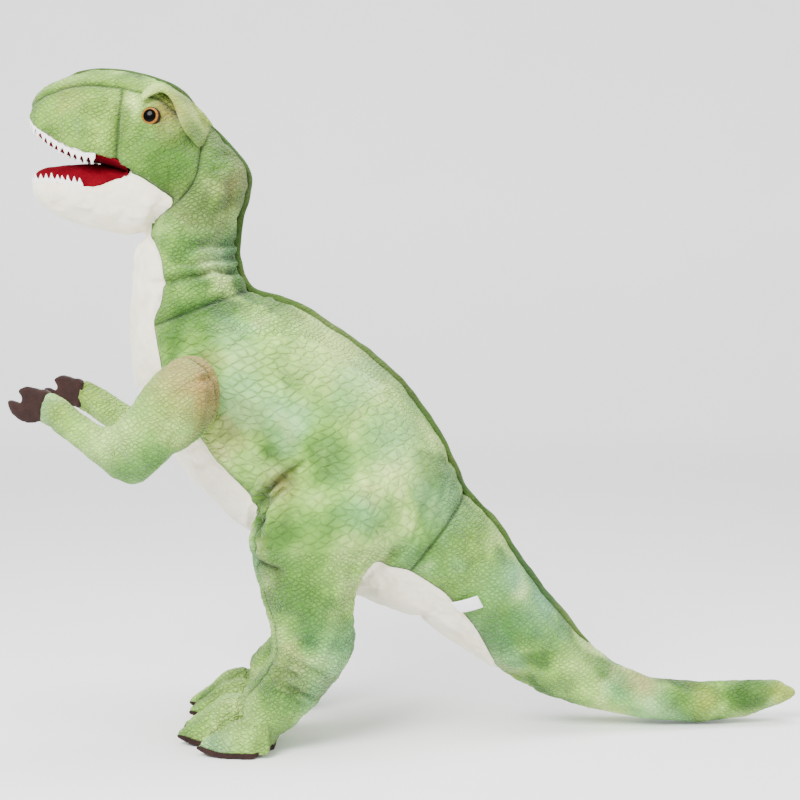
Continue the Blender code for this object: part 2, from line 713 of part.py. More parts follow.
def main():
    clear_scene()
    make_trunk()
    make_head()
    make_legs(trunk_cutter("leg_trim", LEG_CLEARANCE))
    make_arms(trunk_cutter("arm_trim", ARM_CLEARANCE))
    make_label()


main()
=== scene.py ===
import json
import math

import bmesh
import bpy
import numpy as np
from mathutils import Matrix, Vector, noise
from mathutils.bvhtree import BVHTree


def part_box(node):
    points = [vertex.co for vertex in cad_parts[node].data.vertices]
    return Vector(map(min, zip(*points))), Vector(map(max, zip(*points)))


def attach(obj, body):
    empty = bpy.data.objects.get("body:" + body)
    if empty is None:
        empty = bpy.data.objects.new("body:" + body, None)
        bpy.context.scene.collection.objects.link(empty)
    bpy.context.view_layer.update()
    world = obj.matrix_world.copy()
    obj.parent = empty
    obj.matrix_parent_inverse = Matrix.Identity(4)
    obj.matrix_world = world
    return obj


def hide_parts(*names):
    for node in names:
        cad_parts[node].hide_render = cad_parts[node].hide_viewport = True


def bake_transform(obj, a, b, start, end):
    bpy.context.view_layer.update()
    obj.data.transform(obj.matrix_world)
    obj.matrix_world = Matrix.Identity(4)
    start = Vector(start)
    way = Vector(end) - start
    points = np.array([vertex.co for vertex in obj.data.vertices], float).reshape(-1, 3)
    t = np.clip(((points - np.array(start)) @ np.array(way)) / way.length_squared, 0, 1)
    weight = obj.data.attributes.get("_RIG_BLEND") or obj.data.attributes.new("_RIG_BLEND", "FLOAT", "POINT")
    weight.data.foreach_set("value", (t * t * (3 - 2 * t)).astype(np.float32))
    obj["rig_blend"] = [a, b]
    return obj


# The looks of the stuffed dinosaur. It faces -X with its left flank at -Y. Metres, in the CAD model's frame.
# Seams are fields of numbers, one per vertex: zero on the seam, and growing away from it on either side.

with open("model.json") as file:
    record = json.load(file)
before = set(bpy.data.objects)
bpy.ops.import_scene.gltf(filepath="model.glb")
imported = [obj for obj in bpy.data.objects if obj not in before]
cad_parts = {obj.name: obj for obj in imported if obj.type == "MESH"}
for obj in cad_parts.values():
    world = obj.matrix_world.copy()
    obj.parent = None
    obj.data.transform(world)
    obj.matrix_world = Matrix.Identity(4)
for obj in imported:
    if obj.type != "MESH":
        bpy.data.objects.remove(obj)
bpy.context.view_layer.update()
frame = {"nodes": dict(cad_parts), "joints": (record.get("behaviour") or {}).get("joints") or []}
NODES = frame["nodes"]
SIDES = (("left", -1), ("right", 1))


def mm(rows):
    """Rows of millimetres as rows of metres."""
    return [tuple(v / 1000 for v in row) for row in rows]


# The two ends of the head-to-neck seam in the middle plane (x, z), and how far it bows back on the flanks
HEAD_SEAM = ((-0.242, 0.697), (-0.303, 0.571))
HEAD_BOW = 0.026
# The edge of the white throat on the neck's flanks: z, x, all tables in mm
THROAT_EDGE = mm([
    (440, -296), (460, -293.5), (480, -289), (515, -283.5), (535, -285), (555, -293.5),
    (572, -304), (600, -320),
])
# Lips from the snout's tip to the corner of the mouth: x, z, half width
UPPER_LIP = mm([
    (-438, 700, 6), (-429, 687, 26), (-405, 668, 37), (-381, 656, 45),
    (-350, 648, 51), (-324, 635, 58),
])
JAW_LIP = mm([
    (-435, 625, 6), (-427, 628, 26), (-402, 627, 37), (-378, 623, 45),
    (-353, 621, 50), (-325.5, 633.7, 56),
])
# The line of the back from the snout to the end of the ridge: x, z
BACK_LINE = mm([
    (-395, 746), (-370, 751), (-345, 751), (-308, 745), (-272, 731), (-243, 699),
    (-209, 664), (-191, 635), (-196, 609), (-206, 567), (-205, 537), (-190, 505),
    (-136, 481), (-78, 444), (-24, 400), (17, 346), (41, 304), (57, 274),
    (92, 232), (127, 182), (165, 138), (204, 96),
])
# How high the brown soles reach, how wide the groove of a seam is, and a distance that counts as far away
SOLE_TOP, GROOVE, FAR = 0.0062, 0.0017, 0.05
# The size of the voxels that each piece is skinned with
BODY_VOXEL, ARM_VOXEL, TOE_VOXEL, HAND_VOXEL = 0.0046, 0.0040, 0.0026, 0.0019

# ---------------------------------------------------------------- meshes


def node_mesh(names):
    """The points and faces of CAD nodes, taken together."""
    verts, faces = [], []
    for name in names:
        node = NODES[name]
        base = len(verts)
        verts += [node.matrix_world @ v.co for v in node.data.vertices]
        faces += [[base + i for i in p.vertices] for p in node.data.polygons]
    return np.array([list(v) for v in verts]), faces


def tree_of(verts, faces):
    return BVHTree.FromPolygons([Vector(v) for v in verts], faces)


def add_object(name, verts, faces):
    mesh = bpy.data.meshes.new(name)
    mesh.from_pydata([tuple(v) for v in verts], [], [list(f) for f in faces])
    mesh.update()
    obj = bpy.data.objects.new(name, mesh)
    bpy.context.scene.collection.objects.link(obj)
    return obj


def evaluated(obj):
    graph = bpy.context.evaluated_depsgraph_get()
    return bpy.data.meshes.new_from_object(obj.evaluated_get(graph), preserve_all_data_layers=True, depsgraph=graph)


def softened(obj):
    """Subdivides a piece once."""
    mod = obj.modifiers.new("soft", "SUBSURF")
    mod.levels = mod.render_levels = 1
    mesh = evaluated(obj)
    obj.modifiers.clear()
    obj.data = mesh
    obj.data.shade_smooth()


def dress(obj, material):
    obj.data.materials.append(material)
    obj.data.shade_smooth()


def closed_skin(name, verts, faces, material):
    """A piece whose faces all point outwards."""
    obj = add_object(name, verts, faces)
    bm = bmesh.new()
    bm.from_mesh(obj.data)
    bmesh.ops.recalc_face_normals(bm, faces=bm.faces)
    bm.to_mesh(obj.data)
    bm.free()
    dress(obj, material)
    return obj


def settle(obj, slot, body, *nodes, fill=None):
    """Hides the CAD nodes a piece stands for and hangs it on the body it rides on; the slot and the fill are not
    used.
    """
    if nodes:
        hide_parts(*nodes)
    if body:
        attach(obj, body)


def voxel(verts, faces, size):
    """Points and quads of one closed skin round everything given."""
    obj = add_object("voxel_work", verts, faces)
    mod = obj.modifiers.new("remesh", "REMESH")
    mod.mode = "VOXEL"
    mod.voxel_size = size
    mesh = evaluated(obj)
    co = coords(mesh)
    quads = np.array([list(p.vertices) for p in mesh.polygons], int)
    bpy.data.objects.remove(obj)
    return co, quads


def voxel_pair(points, more, faces, size):
    """One skin round a shape and a moved copy of it."""
    return voxel(list(points) + list(more), faces + [[len(points) + i for i in f] for f in faces], size)


def coords(mesh):
    co = np.empty(len(mesh.vertices) * 3)
    mesh.vertices.foreach_get("co", co)
    return co.reshape(-1, 3)


def edges_of(quads):
    pairs = np.stack([quads, np.roll(quads, -1, 1)], 2).reshape(-1, 2)
    return np.unique(np.sort(pairs, 1), axis=0)


def spread(values, edges):
    """The mean of each vertex's neighbours."""
    n = len(values)
    count = np.bincount(edges.ravel(), minlength=n).astype(float)
    flat = values.reshape(n, -1)
    out = np.empty_like(flat)
    a, b = edges.T
    for k in range(flat.shape[1]):
        out[:, k] = (np.bincount(a, flat[b, k], n) + np.bincount(b, flat[a, k], n)) / count
    return out.reshape(values.shape)


def smoothed(co, edges, rounds, weight=1.0, shrink=False):
    """Evens out a mesh. Without shrink it keeps its size, by a push in and a push out."""
    w = np.reshape(weight, (-1, 1))
    for _ in range(rounds):
        for step in (0.5,) if shrink else (0.5, -0.51):
            co = co + step * w * (spread(co, edges) - co)
    return co


def refined(quads, *arrays):
    """Splits each quad in four and carries every array of vertex values along."""
    pairs = np.sort(np.stack([quads, np.roll(quads, -1, 1)], 2).reshape(-1, 2), 1)
    edges, where = np.unique(pairs, axis=0, return_inverse=True)
    n = len(arrays[0])
    mid = n + where.reshape(-1, 4)
    centre = n + len(edges) + np.arange(len(quads))
    out = [np.concatenate([a, (a[edges[:, 0]] + a[edges[:, 1]]) / 2, a[quads].mean(1)]) for a in arrays]
    parts = [np.stack([quads[:, k], mid[:, k], centre, mid[:, k - 1]], 1) for k in range(4)]
    return np.concatenate(parts), out


def normals_of(co, quads):
    face = np.cross(co[quads[:, 2]] - co[quads[:, 0]], co[quads[:, 3]] - co[quads[:, 1]])
    out = np.zeros_like(co)
    for k in range(4):
        for axis in range(3):
            out[:, axis] += np.bincount(quads[:, k], face[:, axis], len(co))
    return out / np.maximum(np.linalg.norm(out, axis=1), 1e-12)[:, None]


def ramp(x, low, high):
    t = np.clip((x - low) / (high - low), 0.0, 1.0)
    return t * t * (3 - 2 * t)


def catmull(rows, s):
    s = min(max(s, 0.0), len(rows) - 1.0)
    i = min(int(s), len(rows) - 2)
    t = s - i
    a, b, c, d = (np.array(rows[min(max(k, 0), len(rows) - 1)]) for k in (i - 1, i, i + 1, i + 2))
    return 0.5 * (2 * b + (c - a) * t + (2 * a - 5 * b + 4 * c - d) * t**2 + (3 * b - a - 3 * c + d) * t**3)


def curve_through(rows, per=8):
    return [catmull(rows, k / per) for k in range((len(rows) - 1) * per + 1)]


def evenly(points, count):
    points = np.array(points, float)
    length = np.concatenate([[0], np.cumsum(np.linalg.norm(np.diff(points, axis=0), axis=1))])
    want = np.linspace(0, length[-1], count)
    return np.stack([np.interp(want, length, points[:, k]) for k in range(points.shape[1])], 1)


def wobble(co, scale, seed=0.0, detail=2):
    """Soft noise, about -1 to 1, at each point."""
    out = np.empty(len(co))
    for i, (x, y, z) in enumerate(co * scale + seed):
        out[i] = noise.fractal((x, y, z), 1.0, 2.0, detail, noise_basis="PERLIN_ORIGINAL")
    return out


# ---------------------------------------------------------------- materials


def colour(mesh, name, values):
    """Vertex colours: the dye, with painted shade in seams, creases and hollows where a piece has it, and extra."""
    layer = mesh.attributes.get(name) or mesh.attributes.new(name, "FLOAT_COLOR", "POINT")
    rgba = np.ones((len(values), 4), np.float32)
    rgba[:, : values.shape[1]] = values
    layer.data.foreach_set("color", rgba.ravel())


def marks(mesh, plates, emboss, near):
    """In extra: the share of large plates, the strength of the embossing, and the distance from a seam."""
    count = len(mesh.vertices)
    colour(mesh, "extra", np.stack([np.broadcast_to(v, count) for v in (plates, emboss, near * 10)], 1))


class Shader:
    """A short way to write node materials."""

    def __init__(self, name, rough=0.9, **set_on_surface):
        self.material = bpy.data.materials.new(name)
        self.material.use_nodes = True
        self.tree = self.material.node_tree
        self.surface = self.tree.nodes["Principled BSDF"]
        self.surface.inputs["Roughness"].default_value = rough
        for key, value in set_on_surface.items():
            self.surface.inputs[key.replace("_", " ")].default_value = value

    def node(self, kind, inputs=(), **props):
        node = self.tree.nodes.new("ShaderNode" + kind)
        for key, value in props.items():
            setattr(node, key, value)
        for key, value in dict(inputs).items():
            if isinstance(value, bpy.types.NodeSocket):
                self.tree.links.new(value, node.inputs[key])
            else:
                node.inputs[key].default_value = value
        return node

    def place(self):
        return self.node("TexCoord").outputs["Object"]

    def attribute(self, name):
        return self.node("Attribute", attribute_name=name).outputs["Color"]

    def math(self, operation, a, b=0.0):
        return self.node("Math", {0: a, 1: b}, operation=operation).outputs[0]

    def span(self, value, a, b, c=0.0, d=1.0):
        node = self.node("MapRange", {"Value": value, "From Min": a, "From Max": b, "To Min": c, "To Max": d})
        return node.outputs[0]

    def mix(self, factor, a, b, blend="MIX"):
        a, b = ((*c, 1) if isinstance(c, tuple) else c for c in (a, b))
        return self.node("Mix", {0: factor, 6: a, 7: b}, data_type="RGBA", blend_type=blend).outputs[2]

    def times(self, a, b):
        return self.mix(1.0, a, b, "MULTIPLY")

    def grey(self, value):
        return self.node("CombineColor", {0: value, 1: value, 2: value}).outputs[0]

    def noise(self, place, scale, detail=3.0, rough=0.5):
        inputs = {"Vector": place, "Scale": scale, "Detail": detail, "Roughness": rough}
        return self.node("TexNoise", inputs).outputs[0]

    def bump(self, height, strength, distance, under=None):
        inputs = {"Height": height, "Strength": strength, "Distance": distance}
        if under is not None:
            inputs["Normal"] = under
        return self.node("Bump", inputs).outputs[0]

    def link(self, socket, value):
        self.tree.links.new(value, self.surface.inputs[socket])


def scaled_plush():
    """Short-pile plush with embossed reptile scales, in the dye with its painted shade and with the marks of the
    vertices; the grooves between the scales and the seam lines get painted shade.
    """
    s = Shader("scaled_plush", 0.88, Sheen_Weight=0.18, Sheen_Roughness=0.45, Specular_IOR_Level=0.25)
    s.surface.inputs["Sheen Tint"].default_value = (0.92, 1.0, 0.85, 1)
    place = s.place()
    dye_and_shade, extra = s.attribute("dye_and_shade"), s.attribute("extra")
    plates, emboss, near = s.node("SeparateColor", {"Color": extra}).outputs
    warp = s.node("TexNoise", {"Vector": place, "Scale": 38.0, "Detail": 2.0}).outputs["Color"]
    bent = s.node("VectorMath", {0: warp, 1: (0.011, 0.011, 0.011)}, operation="MULTIPLY").outputs[0]
    bent = s.node("VectorMath", {0: place, 1: bent}, operation="ADD").outputs[0]
    turned = s.node("Mapping", {"Vector": bent, "Rotation": (0.0, 0.72, 0.0), "Scale": (0.74, 1.0, 1.15)}).outputs[0]
    heights, lines = [], []
    for scale, width, crown in ((102.0, 0.16, 0.60), (215.0, 0.20, 0.65)):
        cells = {"Vector": turned, "Scale": scale, "Randomness": 0.48}
        edge = s.node("TexVoronoi", cells, feature="DISTANCE_TO_EDGE").outputs["Distance"]
        line = s.span(edge, 0.0, width)
        dome = s.span(edge, 0.0, 0.42, 0.0, 1.0)
        heights.append(s.math("ADD", s.math("MULTIPLY", line, crown), s.math("MULTIPLY", dome, 1 - crown)))
        lines.append(line)
    choose = s.span(s.math("ADD", plates, s.math("MULTIPLY", s.noise(place, 14.0), 0.3)), 0.56, 0.72)
    height = s.node("Mix", {0: choose, 2: heights[1], 3: heights[0]}).outputs[0]
    line = s.node("Mix", {0: choose, 2: lines[1], 3: lines[0]}).outputs[0]
    pile = s.noise(place, 1500.0, 2.0, 0.7)
    tuft = s.noise(place, 420.0, 3.0, 0.6)
    fade = s.span(s.noise(place, 9.0, 2.0), 0.35, 0.7, 0.62, 1.0)
    strength = s.math("MULTIPLY", emboss, fade)
    # Painted shade in the grooves between the embossed scales.
    groove_shade = s.math("MULTIPLY", strength, s.span(choose, 0.0, 1.0, 0.42, 0.28))
    shade = s.mix(s.math("MULTIPLY", s.math("SUBTRACT", 1.0, line), groove_shade), dye_and_shade, s.times(dye_and_shade, (0.42, 0.62, 0.38)))
    # Painted shade: a thin dark line in the crevice along each seam.
    sewn = s.span(near, 0.004, 0.016, 0.85, 0.0)
    shade = s.mix(sewn, shade, s.times(dye_and_shade, (0.22, 0.30, 0.20)))
    mottle = s.span(s.noise(place, 60.0, 4.0, 0.6), 0.3, 0.7, 0.84, 1.12)
    fleck = s.math("MULTIPLY", mottle, s.span(pile, 0.3, 0.7, 0.86, 1.10))
    s.link("Base Color", s.times(shade, s.grey(fleck)))
    low = s.bump(s.math("MULTIPLY", height, strength), 1.0, 0.0024)
    mid = s.bump(tuft, 0.30, 0.0009, low)
    s.link("Normal", s.bump(pile, 0.30, 0.0005, mid))
    return s.material


def smooth_plush(name, tone, dark):
    """Plain short-pile plush, with the nap lying in soft patches."""
    s = Shader(name, 0.92, Sheen_Weight=0.45, Sheen_Roughness=0.4, Specular_IOR_Level=0.2)
    place = s.place()
    pile = s.noise(place, 1300.0, 3.0, 0.7)
    tuft = s.noise(place, 330.0, 4.0, 0.65)
    nap = s.noise(place, 26.0, 4.0, 0.6)
    base = s.mix(s.span(nap, 0.35, 0.68), dark, tone)
    value = s.math("MULTIPLY", s.span(pile, 0.3, 0.7, 0.93, 1.04), s.span(tuft, 0.3, 0.7, 0.95, 1.03))
    s.link("Base Color", s.times(base, s.grey(value)))
    low = s.bump(nap, 0.25, 0.002)
    s.link("Normal", s.bump(pile, 0.35, 0.0005, s.bump(tuft, 0.4, 0.0008, low)))
    return s.material


def felt(name, tone, dark, sheen=0.3, specular=0.2):
    """Pressed felt: short crossed fibres and a faint cloudiness."""
    s = Shader(name, 0.95, Sheen_Weight=sheen, Sheen_Roughness=0.5, Specular_IOR_Level=specular)
    place = s.place()
    along = s.node("Mapping", {"Vector": place, "Scale": (1.0, 0.35, 1.0), "Rotation": (0.4, 0.3, 0.8)}).outputs[0]
    across = s.node("Mapping", {"Vector": place, "Scale": (0.35, 1.0, 1.0), "Rotation": (0.9, 0.2, 0.1)}).outputs[0]
    fibres = s.math("ADD", s.noise(along, 700.0, 3.0, 0.7), s.noise(across, 560.0, 3.0, 0.7))
    cloud = s.noise(place, 45.0, 4.0, 0.6)
    base = s.mix(s.span(cloud, 0.3, 0.7), dark, tone)
    value = s.span(fibres, 0.7, 1.3, 0.86, 1.12)
    s.link("Base Color", s.times(base, s.grey(value)))
    s.link("Normal", s.bump(fibres, 0.5, 0.0006, s.bump(cloud, 0.3, 0.0015)))
    return s.material


def eye_material():
    """Glossy plastic: a black pupil, a streaked amber ring and a dark rim."""
    s = Shader("eye_gloss", 0.12, Specular_IOR_Level=0.07)
    place = s.place()
    radius, turn, _ = s.node("SeparateColor", {"Color": s.attribute("dye_and_shade")}).outputs
    across, outward = s.math("MULTIPLY", turn, 60.0), s.math("MULTIPLY", radius, 3.0)
    streak = s.node("CombineXYZ", {"X": across, "Y": outward}).outputs[0]
    iris = s.mix(s.span(s.noise(streak, 1.0, 3.0), 0.3, 0.7), (0.12, 0.040, 0.006), (0.36, 0.150, 0.022))
    tone = s.mix(s.span(radius, 0.66, 0.71), (0.001, 0.001, 0.001), iris)
    tone = s.mix(s.span(radius, 0.84, 0.90), tone, (0.022, 0.014, 0.010))
    s.link("Base Color", tone)
    s.link("Roughness", s.span(s.noise(place, 300.0, 2.0), 0.3, 0.7, 0.09, 0.15))
    return s.material


def satin():
    """Woven satin ribbon, blank."""
    s = Shader("label_satin", 0.45, Sheen_Weight=0.2, Specular_IOR_Level=0.5, Anisotropic=0.4)
    place = s.place()
    threads = {"Vector": place, "Scale": 900.0, "Distortion": 1.5, "Detail": 2.0}
    weft = s.node("TexWave", threads, bands_direction="X").outputs[1]
    cloud = s.noise(place, 120.0, 3.0)
    s.link("Base Color", s.mix(s.span(cloud, 0.3, 0.7), (0.80, 0.79, 0.83), (0.90, 0.89, 0.92)))
    s.link("Normal", s.bump(weft, 0.15, 0.0002, s.bump(cloud, 0.2, 0.0006)))
    return s.material


GREEN = scaled_plush()
CREAM = smooth_plush("belly_plush", (0.92, 0.86, 0.70), (0.82, 0.74, 0.57))
BROWN = felt("claw_felt", (0.030, 0.013, 0.011), (0.016, 0.007, 0.006), sheen=0.08)
RED = felt("mouth_felt", (0.145, 0.0003, 0.006), (0.080, 0.0002, 0.003), sheen=0.0, specular=0.08)
WHITE = felt("tooth_felt", (0.90, 0.89, 0.86), (0.80, 0.79, 0.76))
EYE = eye_material()
SATIN = satin()

# ---------------------------------------------------------------- the dye

DEEP, MID = np.array((0.110, 0.225, 0.060)), np.array((0.290, 0.440, 0.160))
LIGHT, PALE = np.array((0.520, 0.690, 0.290)), np.array((0.740, 0.850, 0.480))
AQUA, TEAL = np.array((0.400, 0.660, 0.520)), np.array((0.130, 0.310, 0.190))
PEACH, RUST = np.array((0.620, 0.510, 0.320)), np.array((0.500, 0.310, 0.130))
OLIVE, YELLOW = np.array((0.330, 0.450, 0.130)), np.array((0.620, 0.660, 0.250))

# Patches of dye: x, z and reach in mm, tone, strength
PATCHES = [
    (-205, 617, 22, PEACH, 0.6), (-235, 571, 40, DEEP, 0.55), (-225, 650, 30, MID, 0.5),
    (-255, 600, 30, DEEP, 0.4), (-219, 543, 22, AQUA, 0.35), (-262, 474, 40, DEEP, 0.42),
    (-66, 264, 22, AQUA, 0.55), (-9, 213, 24, TEAL, 0.55), (-91, 111, 30, AQUA, 0.45),
    (-127, 81, 26, TEAL, 0.35), (48, 222, 34, OLIVE, 0.6), (108, 179, 22, AQUA, 0.65),
    (97, 128, 30, DEEP, 0.62), (75, 150, 22, MID, 0.45), (140, 150, 30, AQUA, 0.35),
    (60, 185, 30, LIGHT, 0.5), (161, 154, 20, AQUA, 0.4), (185, 75, 20, PALE, 0.5),
    (230, 56, 18, TEAL, 0.4), (262, 52, 16, PEACH, 0.65), (297, 30, 22, DEEP, 0.55),
    (335, 31, 12, YELLOW, 0.75), (386, 28, 30, DEEP, 0.55), (428, 41, 20, YELLOW, 0.7),
    (-152, 293, 18, PEACH, 0.6), (-363, 703, 50, YELLOW, 0.35), (-376, 688, 12, TEAL, 0.35),
    (-380, 742, 40, MID, 0.4), (-297, 655, 36, DEEP, 0.5), (-290, 640, 30, OLIVE, 0.3),
    (-282, 706, 15, RUST, 0.5), (-131, 440, 34, PALE, 0.6), (-90, 375, 34, MID, 0.5),
    (-22, 308, 30, PALE, 0.6), (-192, 365, 26, PEACH, 0.3), (-99, 446, 36, PALE, 0.7),
    (-45, 398, 32, PALE, 0.5), (-150, 452, 30, LIGHT, 0.6), (-33, 341, 30, AQUA, 0.35),
    (30, 270, 24, AQUA, 0.35), (-105, 246, 46, MID, 0.55), (-132, 214, 32, DEEP, 0.42),
    (-95, 200, 30, LIGHT, 0.4), (-121, 150, 30, DEEP, 0.3), (-165, 70, 24, MID, 0.4),
    (-205, 35, 30, PALE, 0.5), (-290, 350, 24, LIGHT, 0.5), (-332, 367, 24, PALE, 0.6),
    (-312, 318, 26, TEAL, 0.45), (-387, 375, 20, YELLOW, 0.5), (-160, 330, 30, DEEP, 0.35),
    (-60, 330, 18, DEEP, 0.25), (-205, 430, 18, PALE, 0.4),
]
# The same on the arms alone
ARM_PATCHES = [
    (-238, 400, 24, RUST, 0.9), (-258, 420, 22, PEACH, 0.8), (-252, 384, 18, PEACH, 0.4),
    (-275, 340, 20, TEAL, 0.3), (-320, 318, 18, DEEP, 0.45), (-285, 372, 30, LIGHT, 0.6),
    (-335, 350, 24, PALE, 0.6), (-372, 366, 22, LIGHT, 0.6),
]


def dyed(co, seed=0.0, extra=()):
    """Tie-dye: soft clouds of green, cream and aqua, then the placed patches with ragged edges."""
    broad, fine = wobble(co, 11.0, 3.1 + seed, 3), wobble(co, 27.0, 9.7 + seed, 3)
    blend = np.clip(0.45 + 0.72 * broad + 0.50 * fine, 0, 1)[:, None]
    tone = np.where(blend < 0.5, MID + (LIGHT - MID) * blend * 2, LIGHT + (PALE - LIGHT) * (blend * 2 - 1))
    for cloud, scale, place, low, high, share in (
        (DEEP, 15.0, 21.0, 0.10, 0.42, 0.62),
        (AQUA, 9.0, 33.0, 0.18, 0.5, 0.45),
        (PEACH, 13.0, 47.0, 0.26, 0.5, 0.30),
    ):
        tone = tone + (cloud - tone) * (ramp(wobble(co, scale, place + seed, 2), low, high)[:, None] * share)
    ragged = 1.0 + 0.55 * broad + 0.45 * fine
    for x, z, reach, patch, strength in PATCHES + list(extra):
        far = np.hypot(co[:, 0] - x / 1000, co[:, 2] - z / 1000) * ragged / (reach / 1000)
        share = (strength * np.exp(-(far**2) * 0.8))[:, None]
        tone = tone + (patch - tone) * share
    return as_fabric(tone)


def as_fabric(tone):
    """Makes a dye deeper and fuller, so that it looks as meant under the studio's light."""
    tone = np.clip(tone, 0.01, 1)
    light = (tone @ np.array((0.25, 0.65, 0.10)))[:, None]
    contrast, fullness = 1.75, 2.15
    return np.clip(0.88 * light**contrast * (tone / light) ** fullness, 0.001, 1)


# ---------------------------------------------------------------- creases

# Sewn darts, gathers and pressed creases on a flank: points (x, z) in mm, depth and width in tenths of a mm
CREASES = [
    ([(-292, 511), (-264, 518), (-243, 522), (-226, 527), (-209, 525), (-190, 531)], 70, 50),
    ([(-262, 534), (-248, 533), (-234, 537), (-209, 541), (-192, 550)], 60, 48),
    ([(-250, 551), (-232, 556), (-212, 557)], 30, 55),
    ([(-240, 588), (-234, 604), (-227, 626)], 22, 50),
    ([(-216, 590), (-209, 606), (-208, 634)], 24, 50),
    ([(-128, 318), (-144, 307), (-158, 294), (-170, 282), (-179, 266), (-185, 240)], 105, 42),
    ([(-136, 306), (-147, 292), (-160, 280), (-169, 270), (-174, 256), (-176, 238)], 85, 38),
    ([(-180, 211), (-168, 206), (-152, 202)], 72, 42),
    ([(-178, 226), (-170, 224), (-160, 228)], 34, 34),
    ([(-161, 93), (-146, 89), (-133, 86)], 60, 40),
    ([(-166, 84), (-147, 78), (-130, 66), (-114, 58)], 80, 42),
    ([(-164, 74), (-148, 68), (-134, 58), (-122, 50)], 64, 40),
    ([(-150, 104), (-132, 100), (-112, 90), (-98, 80)], 30, 46),
    ([(-148, 128), (-132, 124), (-114, 126)], 22, 50),
    ([(-66, 186), (-80, 166), (-84, 140)], 30, 70),
    ([(-60, 188), (-40, 205), (-19, 224)], 34, 55),
    ([(-178, 258), (-158, 252), (-140, 256)], 20, 50),
]


def line_distance(x, z, points):
    """How far each point is from a line, and how far along the line that is, from 0 to 1."""
    best = np.full(len(x), 9.0)
    along = np.zeros(len(x))
    for k, ((ax, az), (bx, bz)) in enumerate(zip(points, points[1:])):
        dx, dz = bx - ax, bz - az
        t = np.clip(((x - ax) * dx + (z - az) * dz) / (dx * dx + dz * dz), 0, 1)
        d = np.hypot(x - ax - t * dx, z - az - t * dz)
        near = d < best
        best[near], along[near] = d[near], ((k + t) / (len(points) - 1))[near]
    return best, along


def creased(co, normal, lines, ragged=0.0022):
    """How far each point sinks for the creases, on both flanks."""
    sink = np.zeros(len(co))
    shift = wobble(co, 45.0, 5.0, 2) * ragged
    faces_out = ramp(np.abs(normal[:, 1]), -0.25, 0.35) * (np.sign(co[:, 1]) == np.sign(normal[:, 1]))
    for points, depth, width in lines:
        width = width / 10000
        far, along = line_distance(co[:, 0], co[:, 2], [tuple(p) for p in curve_through(mm(points), 5)])
        far = far + shift
        taper = np.sin(np.pi * np.clip(along, 0.04, 0.96)) ** 0.5
        fold = np.exp(-((far / width) ** 2)) - 0.42 * np.exp(-(((np.abs(far) - 1.9 * width) / width) ** 2))
        sink += depth / 10000 * taper * fold * faces_out
    return sink


# ---------------------------------------------------------------- cloth


def inflated(co, quads, pin, cap, slack=-0.03, frames=20):
    """Blows a closed skin up as cloth, held along its seams. Returns the new points."""
    obj = add_object("cloth_work", co, quads)
    group = obj.vertex_groups.new(name="pin")
    for level in range(1, 11):
        chosen = np.nonzero(np.round(pin * 10) == level)[0]
        if len(chosen):
            group.add([int(i) for i in chosen], level / 10, "REPLACE")
    cloth = obj.modifiers.new("cloth", "CLOTH")
    settings = cloth.settings
    for key, value in dict(
        quality=5, mass=0.3, tension_stiffness=18, compression_stiffness=18, shear_stiffness=8, bending_stiffness=0.8,
        use_pressure=True, uniform_pressure_force=4.0, vertex_group_mass="pin", shrink_min=slack,
    ).items():
        setattr(settings, key, value)
    settings.effector_weights.gravity = 0
    cloth.collision_settings.use_collision = False
    cloth.point_cache.frame_start, cloth.point_cache.frame_end = 1, frames
    scene = bpy.context.scene
    for number in range(1, frames + 1):
        scene.frame_set(number)
        bpy.context.view_layer.update()
        moved = coords(obj.evaluated_get(bpy.context.evaluated_depsgraph_get()).data)
    scene.frame_set(1)
    bpy.data.objects.remove(obj)
    step = moved - co
    length = np.linalg.norm(step, axis=1)
    keep = np.where(length > 1e-9, cap * np.tanh(length / cap) / np.maximum(length, 1e-9), 0.0)
    return co + step * keep[:, None]


# ---------------------------------------------------------------- the body


def distances(co, **groups):
    """The distance of each point to each group of CAD nodes."""
    out = {}
    for name, nodes in groups.items():
        tree = tree_of(*node_mesh(nodes))
        out[name] = np.array([tree.find_nearest(Vector(p))[3] for p in co])
    return out


def both(*names):
    return [f"{n}_{side}" for n in names for side, _ in SIDES]


# The groups of nodes whose distances tell where the seams of a leg are sewn
LEG_KEYS = ("outer", "inner", "torso", "tail", "neck", "cheek")


